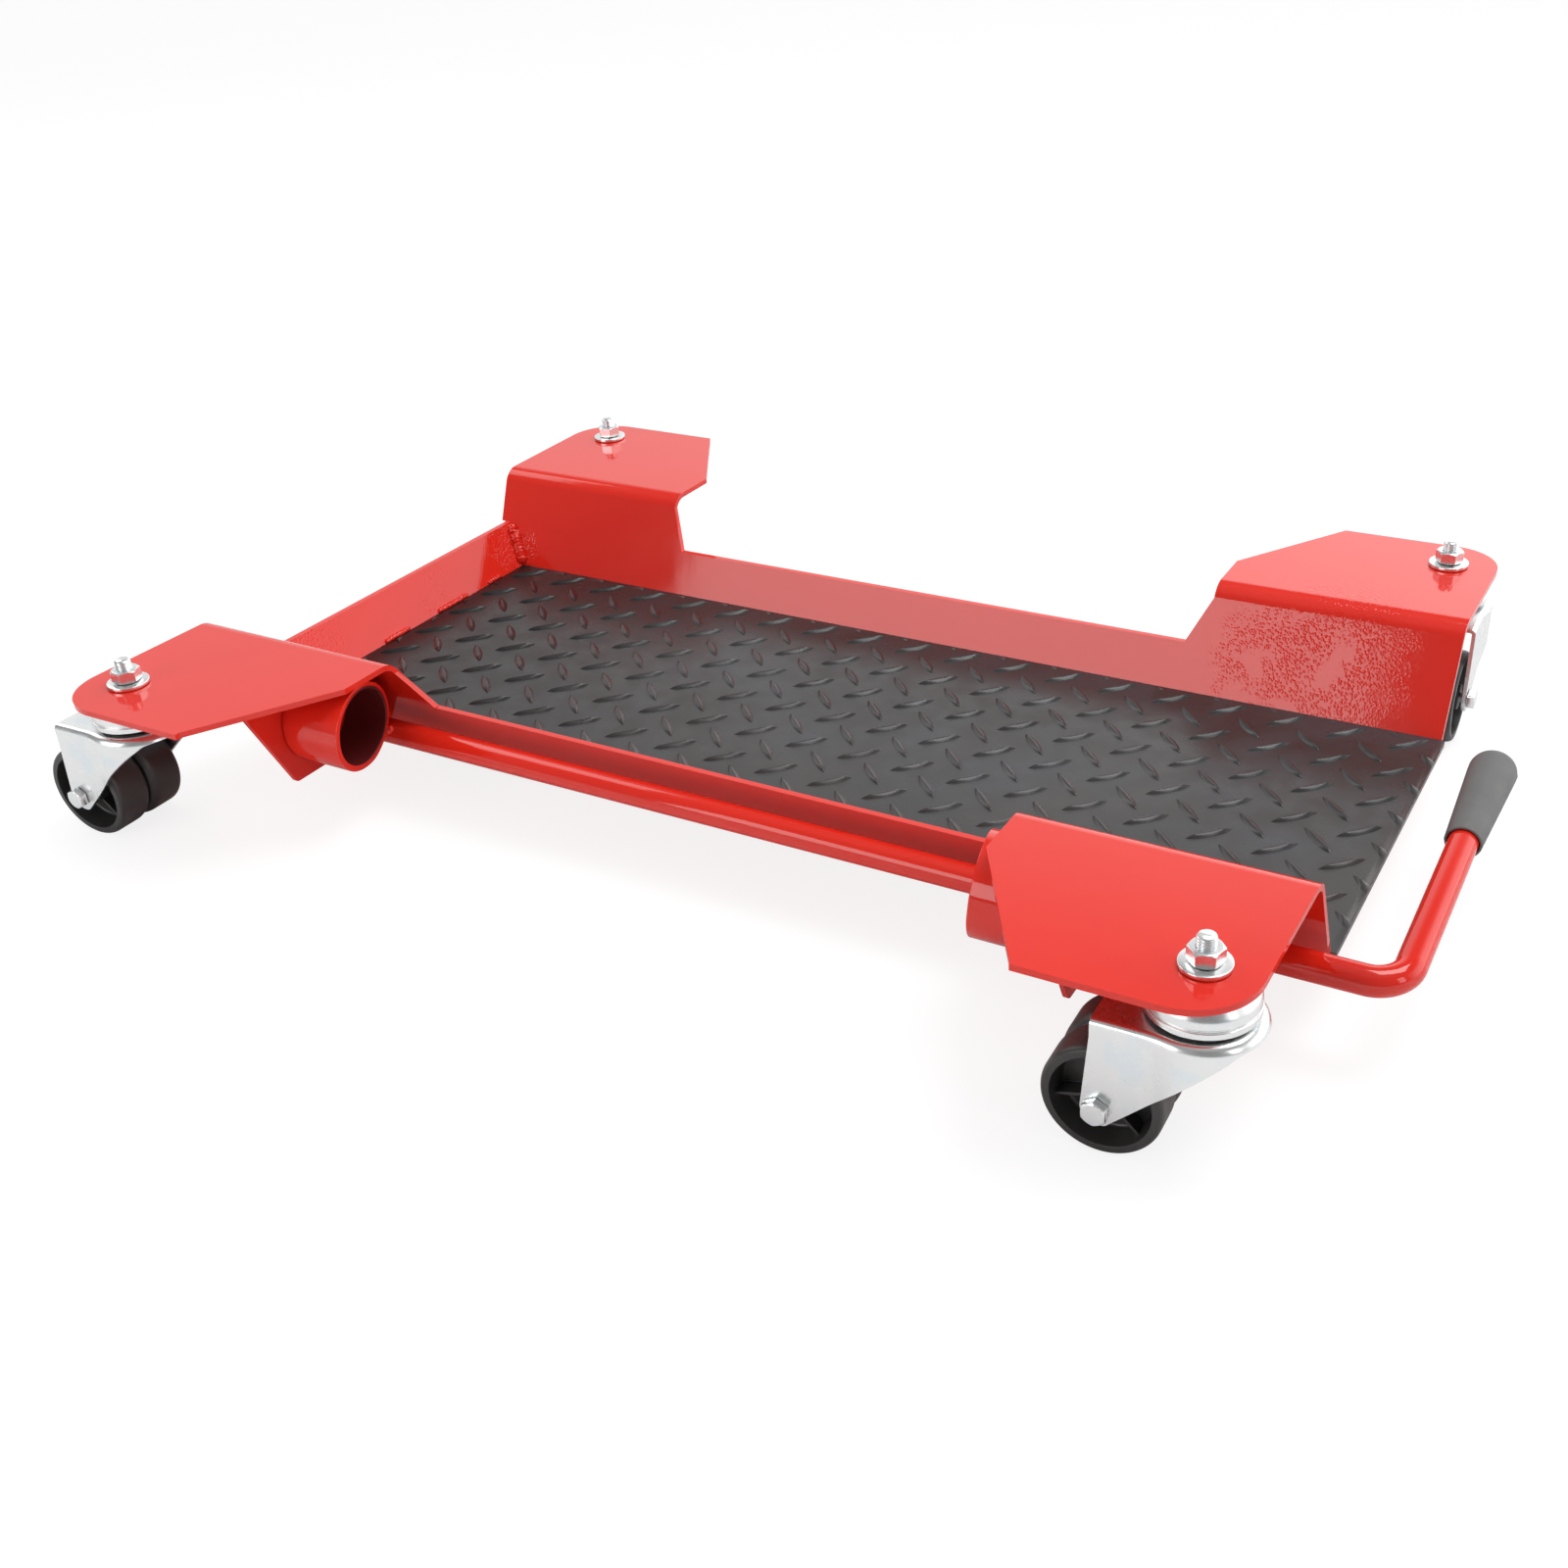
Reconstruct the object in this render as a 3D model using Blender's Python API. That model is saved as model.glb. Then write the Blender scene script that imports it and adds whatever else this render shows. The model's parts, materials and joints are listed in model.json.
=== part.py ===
"""Centre-stand dolly: a low steel platform that carries a parked motorcycle by its centre stand.

One bent steel sheet makes the floor, the leaning side panels and the four wings.
A twin-wheel swivel caster hangs under each wing. A lever turns a shaft along the front,
whose two short tubes swing down to the ground as a brake.

Metres, +Z up. The origin is the centre of the platform, on the mat's top face.
+X runs along the platform towards the lever, and -Y is the side of the brake shaft.
"""

from math import acos, atan2, copysign, cos, pi, radians, sin, sqrt, tan

import bmesh
import bpy
from mathutils import Matrix, Vector

MM = 0.001
GAP = 0.3 * MM

# Bent sheet. Heights are above the mat's top face.
SHEET = 3.0 * MM
MAT_THICK = 3.0 * MM
HALF_LENGTH = 315.0 * MM
REACH = 235.0 * MM
FLOOR_HALF_WIDTH = 102.0 * MM
PANEL_LEAN = radians(26.4)
WING_TOP = 53.8 * MM
STRIP_TOP = 23.4 * MM
WING_BEND = 10.5 * MM
FLOOR_BEND = 3.5 * MM
WING_SLOPE_TOP = 47.0 * MM
DIAGONAL_START_Y = 163.0 * MM
DIAGONAL_END_Y = 232.0 * MM

# Where the raised wings start along X on the front side (-1) and the back side (1), left and right: the foot of the
# slope up from the strip, the wing's inner end, and where its slanting edge meets the outer edge.
WING_STARTS = {
    -1: ((-167.3 * MM, -179.0 * MM, -221.5 * MM), (167.3 * MM, 179.0 * MM, 221.5 * MM)),
    1: ((-165.7 * MM, -176.3 * MM, -218.8 * MM), (167.3 * MM, 179.0 * MM, 224.0 * MM)),
}
PANEL_END_X = -312.2 * MM
PANEL_END_Y = 128.0 * MM

# The wings' outer corners, counter-clockwise from the back right one: where their edges meet, and the radius.
WING_CORNERS = (
    (311.5 * MM, 228.5 * MM, 27.0 * MM),
    (-315.0 * MM, 232.0 * MM, 28.0 * MM),
    (-314.5 * MM, -234.8 * MM, 29.0 * MM),
    (310.5 * MM, -232.5 * MM, 30.0 * MM),
)

# Left end wall, which leans outwards, and the mat.
WALL_FOOT_X = -288.0 * MM
WALL_TOP_X = -304.0 * MM
MAT_RIGHT_X = 313.0 * MM
MAT_EDGE_GAP = 0.5 * MM

# Brake shaft with its lever, tubes and gussets.
SHAFT_Y = -125.4 * MM
SHAFT_Z = 8.0 * MM
SHAFT_RADIUS = 6.75 * MM
SHAFT_LEFT_X = -227.0 * MM
LEVER_X = 345.4 * MM
LEVER_BEND = 15.0 * MM
LEVER_TILT = radians(3.9)
LEVER_LENGTH = 166.0 * MM
GRIP_START = 108.0 * MM
GRIP_LENGTH = 69.0 * MM
GRIP_NEAR_RADIUS = 8.4 * MM
GRIP_FAR_RADIUS = 11.2 * MM
TUBE_RADIUS = 24.0 * MM
TUBE_WALL = 3.5 * MM
TUBE_LENGTH = 32.9 * MM
TUBE_SLANT = radians(12.2)
TUBE_SLANT_TOWARDS = radians(150.0)
LEFT_TUBE = (-217.9 * MM, radians(146.7))
RIGHT_TUBE = (203.4 * MM, radians(144.2))
GUSSET_X = 218.5 * MM
GUSSET_HOLE = 7.15 * MM
GUSSET_TOP_Y = -199.0 * MM
GUSSET_TIP_Y = -173.5 * MM
GUSSET_FOOT_Z = -4.5 * MM

# Casters. A caster's own frame has its origin on the swivel axis, and its wheels trail towards -X.
CASTERS = {
    "fl": (-289.0 * MM, -204.4 * MM, radians(1.5)),
    "fr": (287.5 * MM, -203.1 * MM, radians(1.4)),
    "bl": (-285.1 * MM, 206.0 * MM, radians(90.0)),
    "br": (286.1 * MM, 200.3 * MM, radians(91.0)),
}
STUD_RADIUS = 4.0 * MM
STUD_HOLE = 4.4 * MM
STUD_PROUD = 5.0 * MM
NUT_FLATS = 13.0 * MM
NUT_HEIGHT = 6.5 * MM
WASHER_RADIUS = 10.5 * MM
WASHER_THICK = 2.0 * MM
CUP_RADIUS = 22.5 * MM
CUP_BOTTOM = 36.2 * MM
FORK_TOP = 34.4 * MM
FORK_SHEET = 2.0 * MM
FORK_HALF_WIDTH = 24.2 * MM
FORK_HEAD_RADIUS = 25.8 * MM
TRAIL = 32.3 * MM
AXLE_Z = -7.6 * MM
AXLE_RADIUS = 3.0 * MM
AXLE_HOLE = 3.3 * MM
AXLE_FLATS = 10.0 * MM
WHEEL_RADIUS = 25.4 * MM
WHEEL_PAIR_HALF_WIDTH = 20.6 * MM

FINE = 24
COARSE = 16


# Materials


def material(name, colour, roughness, metallic):
    made = bpy.data.materials.new(name)
    made.use_nodes = True
    shader = made.node_tree.nodes["Principled BSDF"]
    shader.inputs["Base Color"].default_value = (*colour, 1.0)
    shader.inputs["Roughness"].default_value = roughness
    shader.inputs["Metallic"].default_value = metallic
    made.diffuse_color = (*colour, 1.0)
    return made


def make_materials():
    return {
        "red_paint": material("red_paint", (0.70, 0.012, 0.012), 0.28, 0.0),
        "mat_rubber": material("mat_rubber", (0.030, 0.030, 0.032), 0.55, 0.0),
        "zinc": material("zinc", (0.62, 0.65, 0.68), 0.30, 1.0),
        "wheel_plastic": material("wheel_plastic", (0.018, 0.018, 0.018), 0.38, 0.0),
        "grip_rubber": material("grip_rubber", (0.045, 0.045, 0.047), 0.60, 0.0),
        "seal_plastic": material("seal_plastic", (0.015, 0.015, 0.015), 0.60, 0.0),
    }


# Mesh tools. Each returns a closed mesh.


def finished_mesh(shape, name):
    bmesh.ops.recalc_face_normals(shape, faces=shape.faces)
    mesh = bpy.data.meshes.new(name)
    shape.to_mesh(mesh)
    shape.free()
    return mesh


def prism(outline, axis, low, high):
    """An outline in the plane across axis, (y, z) for X, (x, z) for Y and (x, y) for Z, drawn out along it."""
    shape = bmesh.new()
    ends = []
    for along in (low, high):
        if axis == "X":
            ends.append([shape.verts.new((along, a, b)) for a, b in outline])
        elif axis == "Y":
            ends.append([shape.verts.new((a, along, b)) for a, b in outline])
        else:
            ends.append([shape.verts.new((a, b, along)) for a, b in outline])
    first, last = ends
    shape.faces.new(first)
    shape.faces.new(last)
    for i in range(len(outline)):
        k = (i + 1) % len(outline)
        shape.faces.new((first[i], first[k], last[k], last[i]))
    return finished_mesh(shape, "prism")


def turned(profile, steps):
    """A closed profile of (radius, z) points turned about Z. A point of radius 0 lies on the axis."""
    shape = bmesh.new()
    rings = []
    for radius, z in profile:
        if radius == 0:
            rings.append([shape.verts.new((0, 0, z))])
            continue
        angles = [2 * pi * i / steps for i in range(steps)]
        rings.append([shape.verts.new((radius * cos(a), radius * sin(a), z)) for a in angles])
    for here, there in zip(rings, rings[1:] + rings[:1]):
        if len(here) == len(there) == 1:
            continue
        for i in range(steps):
            k = (i + 1) % steps
            corners = (here[i % len(here)], here[k % len(here)], there[k % len(there)], there[i % len(there)])
            shape.faces.new(list(dict.fromkeys(corners)))
    return finished_mesh(shape, "turned")


def swept(path, radius, steps, side):
    """A round bar along a flat path, a list of points in the plane at right angles to side."""
    shape = bmesh.new()
    rings = []
    for i, point in enumerate(path):
        before = path[max(i - 1, 0)]
        after = path[min(i + 1, len(path) - 1)]
        across = side.cross((after - before).normalized())
        angles = [2 * pi * k / steps for k in range(steps)]
        rings.append([shape.verts.new(point + radius * (cos(a) * across + sin(a) * side)) for a in angles])
    for here, there in zip(rings, rings[1:]):
        for i in range(steps):
            k = (i + 1) % steps
            shape.faces.new((here[i], here[k], there[k], there[i]))
    shape.faces.new(rings[0])
    shape.faces.new(rings[-1])
    return finished_mesh(shape, "swept")


def joined(base, *steps):
    """base after each (operation, mesh) of steps, by Boolean."""
    helpers = [bpy.data.objects.new("base", base)]
    for operation, mesh in steps:
        helpers.append(bpy.data.objects.new("tool", mesh))
        modifier = helpers[0].modifiers.new(operation, "BOOLEAN")
        modifier.operation = operation
        modifier.object = helpers[-1]
    for helper in helpers:
        bpy.context.scene.collection.objects.link(helper)
    graph = bpy.context.evaluated_depsgraph_get()
    made = bpy.data.meshes.new_from_object(helpers[0].evaluated_get(graph))
    for helper in helpers:
        bpy.data.objects.remove(helper)
    return made


def moved(mesh, x=0.0, y=0.0, z=0.0):
    mesh.transform(Matrix.Translation((x, y, z)))
    return mesh


# Outlines


def arc(centre, radius, start, end, steps):
    """Points on a circle from angle start to angle end, both included."""
    angles = [start + (end - start) * i / steps for i in range(steps + 1)]
    return [(centre[0] + radius * cos(a), centre[1] + radius * sin(a)) for a in angles]


def hexagon(flats, turn=0.0):
    return arc((0, 0), flats / sqrt(3), turn, turn + 2 * pi * 5 / 6, 5)


def bent_strip(corners, bends, thick, steps):
    """The outline of a strip of sheet whose mid-line runs through corners, turning at each with its bend radius."""
    line = [Vector(c) for c in corners]
    left, right = [], []

    def add(point, normal):
        left.append(tuple(point + normal * thick / 2))
        right.append(tuple(point - normal * thick / 2))

    def heading(i):
        return (line[i + 1] - line[i]).normalized()

    def normal_of(direction):
        return Vector((-direction.y, direction.x))

    add(line[0], normal_of(heading(0)))
    for i, bend in enumerate(bends, start=1):
        entry, leave = heading(i - 1), heading(i)
        turn = acos(max(-1.0, min(1.0, entry.dot(leave))))
        sense = 1 if entry.x * leave.y - entry.y * leave.x > 0 else -1
        start = line[i] - entry * bend * tan(turn / 2)
        centre = start + normal_of(entry) * bend * sense
        for k in range(steps + 1):
            normal = Matrix.Rotation(sense * turn * k / steps, 2) @ normal_of(entry)
            add(centre - normal * bend * sense, normal)
    add(line[-1], normal_of(heading(len(line) - 2)))
    return left + right[::-1]


def panel_inner_y(z):
    return FLOOR_HALF_WIDTH + z * tan(PANEL_LEAN)


def panel_middle_y(z):
    return panel_inner_y(z) + SHEET / 2 / cos(PANEL_LEAN)


def panel_outer_y(z):
    return panel_inner_y(z) + SHEET / cos(PANEL_LEAN)


def wall_inner_x(z):
    return WALL_FOOT_X + (WALL_TOP_X - WALL_FOOT_X) * z / STRIP_TOP


# Platform


def end_wall():
    """The left end wall. Its foot lies inside the floor sheet, and its ends lie inside the side panels."""
    low = -MAT_THICK - GAP - 0.7 * SHEET
    thick = SHEET / cos(atan2(WALL_FOOT_X - WALL_TOP_X, STRIP_TOP))
    shape = bmesh.new()
    corners = []
    for z in (low, STRIP_TOP):
        reach = panel_middle_y(z)
        inner = wall_inner_x(z)
        plan = ((inner, -reach), (inner, reach), (inner - thick, reach), (inner - thick, -reach))
        corners.append([shape.verts.new((x, y, z)) for x, y in plan])
    foot, top = corners
    shape.faces.new(foot)
    shape.faces.new(top)
    for i in range(4):
        k = (i + 1) % 4
        shape.faces.new((foot[i], foot[k], top[k], top[i]))
    return finished_mesh(shape, "end_wall")


def wing_plan():
    """The platform's outline from above. Each of its four corners has its own place and radius."""
    outline = []
    for quarter, (x, y, radius) in enumerate(WING_CORNERS):
        centre = (x - copysign(radius, x), y - copysign(radius, y))
        outline += arc(centre, radius, quarter * pi / 2, (quarter + 1) * pi / 2, 6)
        if quarter == 1:
            outline += [(PANEL_END_X, PANEL_END_Y), (PANEL_END_X, -PANEL_END_Y)]
    return outline


def make_pan():
    """Floor, side panels and wings from one bent sheet, with the end wall welded in."""
    over = 10 * MM
    wing = WING_TOP - SHEET / 2
    floor = -MAT_THICK - GAP - SHEET / 2
    half = [(REACH + over, wing), (panel_middle_y(wing), wing), (panel_middle_y(floor), floor)]
    corners = [(-y, z) for y, z in half] + half[::-1]
    sheet = bent_strip(corners, (WING_BEND, FLOOR_BEND, FLOOR_BEND, WING_BEND), SHEET, 5)
    above = WING_TOP + over
    # Outside the end wall the panels end just past it, on a line that leans as it does up to the wall's top.
    land = 4.6 * MM
    below = floor - over
    end = [
        (wall_inner_x(below) - land, below),
        (wall_inner_x(STRIP_TOP) - land, STRIP_TOP),
        (PANEL_END_X + 1.2 * MM, STRIP_TOP),
        (PANEL_END_X, WING_SLOPE_TOP),
        (-HALF_LENGTH - over, WING_SLOPE_TOP),
        (-HALF_LENGTH - over, below),
    ]
    steps = [
        ("INTERSECT", prism(wing_plan(), "Z", below, above)),
        ("DIFFERENCE", prism(end, "Y", -REACH, REACH)),
        ("UNION", end_wall()),
    ]
    inside = 12 * MM
    for side, ((foot_l, inner_l, end_l), (foot_r, inner_r, end_r)) in WING_STARTS.items():
        middle = [
            (foot_l, STRIP_TOP),
            (foot_r, STRIP_TOP),
            (inner_r, WING_SLOPE_TOP),
            (inner_r, above),
            (inner_l, above),
            (inner_l, WING_SLOPE_TOP),
        ]
        low_y, high_y = sorted((0, side * (REACH + over)))
        steps.append(("DIFFERENCE", prism(middle, "Y", low_y, high_y)))
        diagonal = [
            (inner_l + inside, DIAGONAL_START_Y - inside),
            (inner_r - inside, DIAGONAL_START_Y - inside),
            (inner_r, DIAGONAL_START_Y),
            (end_r, DIAGONAL_END_Y),
            (end_r, REACH + over),
            (end_l, REACH + over),
            (end_l, DIAGONAL_END_Y),
            (inner_l, DIAGONAL_START_Y),
        ]
        outline = [(x, side * y) for x, y in diagonal]
        steps.append(("DIFFERENCE", prism(outline, "Z", WING_TOP - over, above)))
    hole = arc((0, 0), STUD_HOLE, 0, 2 * pi * (COARSE - 1) / COARSE, COARSE - 1)
    for x, y, turn in CASTERS.values():
        drill = moved(prism(hole, "Z", WING_TOP - over, above), x, y)
        steps.append(("DIFFERENCE", drill))
    return joined(prism(sheet, "X", -HALF_LENGTH - over, HALF_LENGTH + over), *steps)


def make_mat():
    """The rubber mat: its long sides and its left end lean with the panels and the wall that they meet."""
    shape = bmesh.new()
    layers = []
    for z in (-MAT_THICK, 0.0):
        y = panel_inner_y(z) - MAT_EDGE_GAP
        left = wall_inner_x(z) + MAT_EDGE_GAP
        plan = ((left, -y), (MAT_RIGHT_X, -y), (MAT_RIGHT_X, y), (left, y))
        layers.append([shape.verts.new((px, py, z)) for px, py in plan])
    bottom, top = layers
    shape.faces.new(bottom)
    shape.faces.new(top)
    for i in range(4):
        k = (i + 1) % 4
        shape.faces.new((bottom[i], bottom[k], top[k], top[i]))
    return finished_mesh(shape, "mat")


def make_gusset(side):
    """A plate under the wing, welded to the panel, that the brake shaft turns in. side is -1 left, 1 right."""
    top = WING_TOP - SHEET - GAP
    clear = GAP / cos(PANEL_LEAN)
    notch = WING_TOP - WING_BEND
    outline = [
        (GUSSET_TOP_Y, top),
        (GUSSET_TIP_Y, GUSSET_FOOT_Z),
        (-panel_outer_y(GUSSET_FOOT_Z) - clear, GUSSET_FOOT_Z),
        (-panel_outer_y(notch) - clear, notch),
        (-panel_outer_y(notch) - WING_BEND, top),
    ]
    low, high = sorted((side * GUSSET_X, side * (GUSSET_X + SHEET)))
    hole = arc((SHAFT_Y, SHAFT_Z), GUSSET_HOLE, 0, 2 * pi * (COARSE - 1) / COARSE, COARSE - 1)
    drill = prism(hole, "X", low - SHEET, high + SHEET)
    return joined(prism(outline, "X", low, high), ("DIFFERENCE", drill))


# Brake. Its own frame has its origin on the shaft's axis, under the platform's centre.


def make_shaft():
    """The shaft, and the lever that it is bent into at its right end."""
    along = Vector((1, 0, 0))
    up_lever = Vector((0, cos(LEVER_TILT), sin(LEVER_TILT)))
    centre = Vector((LEVER_X - LEVER_BEND, 0, 0)) + up_lever * LEVER_BEND
    path = [Vector((SHAFT_LEFT_X, 0, 0))]
    for i in range(7):
        angle = i / 6 * pi / 2
        path.append(centre + LEVER_BEND * (sin(angle) * along - cos(angle) * up_lever))
    path.append(Vector((LEVER_X, 0, 0)) + up_lever * LEVER_LENGTH)
    return swept(path, SHAFT_RADIUS, COARSE, along.cross(up_lever))


def make_grip():
    """A tapered grip with a domed end and a blind bore, standing on Z."""
    bore = SHAFT_RADIUS + GAP
    depth = LEVER_LENGTH - GRIP_START + GAP
    dome = 5.0 * MM
    profile = [(bore, 0), (GRIP_NEAR_RADIUS, 0)]
    profile += arc((GRIP_FAR_RADIUS - dome, GRIP_LENGTH - dome), dome, 0, pi / 2, 4)
    profile += [(0, GRIP_LENGTH), (0, depth), (bore, depth)]
    return turned(profile, COARSE)


def make_tube(outer_x, angle):
    """A short tube welded along the shaft, from its square outer end to an inner end that is cut slantwise."""
    reach = SHAFT_RADIUS + GAP + TUBE_RADIUS
    centre_y, centre_z = reach * cos(angle), reach * sin(angle)
    inwards = -copysign(1, outer_x)
    bore = TUBE_RADIUS - TUBE_WALL
    profile = [(TUBE_RADIUS, 0), (TUBE_RADIUS, TUBE_LENGTH), (bore, TUBE_LENGTH), (bore, 0)]
    mesh = turned(profile, FINE)
    for vertex in mesh.vertices:
        y, z, x = vertex.co
        towards = y * cos(TUBE_SLANT_TOWARDS) + z * sin(TUBE_SLANT_TOWARDS)
        slant = towards * tan(TUBE_SLANT) if x > TUBE_LENGTH / 2 else 0.0
        vertex.co = (outer_x + inwards * x + slant, centre_y + y, centre_z + z)
    if inwards < 0:
        mesh.flip_normals()
    return mesh


# Casters


def make_stud():
    """The bolt that holds a caster: a hexagon head inside the fork, and a shank up through the wing."""
    head_top = FORK_TOP - FORK_SHEET - GAP
    head = prism(hexagon(NUT_FLATS), "Z", head_top - 5.3 * MM, head_top)
    tip = WING_TOP + 2 * GAP + WASHER_THICK + NUT_HEIGHT + STUD_PROUD
    chamfer = 0.7 * MM
    profile = [
        (0, head_top - 1 * MM),
        (STUD_RADIUS, head_top - 1 * MM),
        (STUD_RADIUS, tip - chamfer),
        (STUD_RADIUS - chamfer, tip),
        (0, tip),
    ]
    return joined(head, ("UNION", turned(profile, COARSE)))


def ring(inner, outer, low, high, steps):
    return turned([(outer, low), (outer, high), (inner, high), (inner, low)], steps)


def make_washer():
    low = WING_TOP + GAP
    return ring(STUD_HOLE, WASHER_RADIUS, low, low + WASHER_THICK, FINE)


def make_nut(flats, height, bore):
    """A hexagon nut with chamfered corners, standing on Z = 0."""
    corner = flats / sqrt(3)
    chamfer = 0.9 * MM
    profile = [
        (bore, 0),
        (corner, 0),
        (corner, height - chamfer),
        (corner - 2 * chamfer, height),
        (bore, height),
    ]
    flat_sides = prism(hexagon(flats), "Z", -height, 2 * height)
    return joined(turned(profile, FINE), ("INTERSECT", flat_sides))


def make_cup():
    """The fixed half of the swivel head, pressed from sheet, drawn here as a solid ring."""
    top = WING_TOP - SHEET - GAP
    profile = [
        (STUD_HOLE, CUP_BOTTOM),
        (CUP_RADIUS, CUP_BOTTOM),
        (CUP_RADIUS, CUP_BOTTOM + 2.2 * MM),
        (CUP_RADIUS - 0.8 * MM, CUP_BOTTOM + 3.0 * MM),
        (CUP_RADIUS - 0.8 * MM, top - 6.0 * MM),
        (CUP_RADIUS - 3.6 * MM, top - 1.6 * MM),
        (CUP_RADIUS - 6.5 * MM, top),
        (STUD_HOLE, top),
    ]
    return turned(profile, FINE)


def make_bearing():
    """The ball cage between the cup and the fork."""
    return ring(STUD_HOLE + 2 * MM, CUP_RADIUS - 3 * MM, FORK_TOP + GAP, CUP_BOTTOM - GAP, FINE)


def fork_plan(inset):
    """The fork from above: a straight channel that meets the round head."""
    half, radius = FORK_HALF_WIDTH - inset, FORK_HEAD_RADIUS - inset
    meet = pi - acos(sqrt(radius**2 - half**2) / radius)
    end = -TRAIL - 14 * MM - inset
    return [(end, -half)] + arc((0, 0), radius, -meet, meet, 18) + [(end, half)]


def fork_side():
    """The fork from the side: cheeks that narrow to the axle, and a shallow rim round the head."""
    boss = 7.8 * MM
    over = 10 * MM
    back = -36.0 * MM
    outline = [(back, FORK_TOP + over), (back, FORK_TOP)]
    outline += arc((-TRAIL + 1 * MM, AXLE_Z), boss, pi, pi * 1.62, 5)
    outline += [
        (-16.0 * MM, -2.8 * MM),
        (-1.0 * MM, 12.0 * MM),
        (9.0 * MM, 20.9 * MM),
        (17.0 * MM, 27.4 * MM),
        (22.0 * MM, FORK_TOP - 4.4 * MM),
        (FORK_HEAD_RADIUS + over, FORK_TOP - 4.0 * MM),
        (FORK_HEAD_RADIUS + over, FORK_TOP + over),
    ]
    return outline


def make_fork():
    """A channel pressed from one sheet, open below and behind."""
    deep = AXLE_Z - 20 * MM
    reach = FORK_HEAD_RADIUS + 5 * MM
    outer = prism(fork_plan(0.0), "Z", deep, FORK_TOP)
    inner = prism(fork_plan(FORK_SHEET), "Z", deep - 5 * MM, FORK_TOP - FORK_SHEET)
    axle = arc((-TRAIL, AXLE_Z), AXLE_HOLE, 0, 2 * pi * (COARSE - 1) / COARSE, COARSE - 1)
    stud = arc((0, 0), STUD_HOLE, 0, 2 * pi * (COARSE - 1) / COARSE, COARSE - 1)
    return joined(
        outer,
        ("DIFFERENCE", inner),
        ("INTERSECT", prism(fork_side(), "Y", -reach, reach)),
        ("DIFFERENCE", prism(axle, "Y", -reach, reach)),
        ("DIFFERENCE", prism(stud, "Z", deep, FORK_TOP + reach)),
    )


def make_axle():
    """The axle bolt along Z, with its head at the low end."""
    face = FORK_HALF_WIDTH + GAP
    head = prism(hexagon(AXLE_FLATS, pi / 6), "Z", -face - 4.0 * MM, -face)
    tip = face + 6.2 * MM
    sunk = 1.0 * MM
    chamfer = 0.7 * MM
    profile = [
        (0, -face - sunk),
        (AXLE_RADIUS, -face - sunk),
        (AXLE_RADIUS, tip - chamfer),
        (AXLE_RADIUS - chamfer, tip),
        (0, tip),
    ]
    return joined(head, ("UNION", turned(profile, COARSE)))


def make_wheel():
    """One wheel of a pair, turned about Z, with its plain side at Z = 0 and its dished side up."""
    width = WHEEL_PAIR_HALF_WIDTH - 0.5 * MM
    rim = 21.1 * MM
    round_edge = 2.0 * MM
    web = 8.5 * MM
    hub = 7.5 * MM
    profile = [
        (AXLE_HOLE, 0),
        (WHEEL_RADIUS - round_edge, 0),
        (WHEEL_RADIUS, round_edge),
        (WHEEL_RADIUS, width - round_edge),
        (WHEEL_RADIUS - 0.6 * round_edge, width - 0.3 * round_edge),
        (WHEEL_RADIUS - round_edge, width),
        (rim, width - 0.4 * MM),
        (rim - 1 * MM, web),
        (hub, web),
        (hub - 0.6 * MM, width - 0.6 * MM),
        (AXLE_HOLE, width - 0.6 * MM),
    ]
    return turned(profile, FINE)


# Assembly


def place(name, mesh, finish, parent=None, location=(0, 0, 0), rotation=(0, 0, 0)):
    """One named object. Copies may share a mesh."""
    if not mesh.materials:
        mesh.materials.append(finish)
        mesh.shade_smooth()
        mesh.set_sharp_from_angle(angle=radians(32))
    node = bpy.data.objects.new(name, mesh)
    bpy.context.scene.collection.objects.link(node)
    node.parent = parent
    node.location = location
    node.rotation_euler = rotation
    return node


def pivot(name, location, rotation=(0, 0, 0)):
    """An empty on a joint's axis."""
    empty = bpy.data.objects.new(name, None)
    bpy.context.scene.collection.objects.link(empty)
    empty.empty_display_size = 20 * MM
    empty.location = location
    empty.rotation_euler = rotation
    return empty


def build_platform(finishes):
    place("pan", make_pan(), finishes["red_paint"])
    place("rubber_mat", make_mat(), finishes["mat_rubber"])
    place("left_gusset", make_gusset(-1), finishes["red_paint"])
    place("right_gusset", make_gusset(1), finishes["red_paint"])


def build_brake(finishes):
    axis = pivot("brake_axis", (0, SHAFT_Y, SHAFT_Z))
    place("brake_shaft", make_shaft(), finishes["red_paint"], axis)
    place("left_brake_tube", make_tube(*LEFT_TUBE), finishes["red_paint"], axis)
    place("right_brake_tube", make_tube(*RIGHT_TUBE), finishes["red_paint"], axis)
    start = (LEVER_X, GRIP_START * cos(LEVER_TILT), GRIP_START * sin(LEVER_TILT))
    place("lever_grip", make_grip(), finishes["grip_rubber"], axis, start, (LEVER_TILT - pi / 2, 0, 0))


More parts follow.
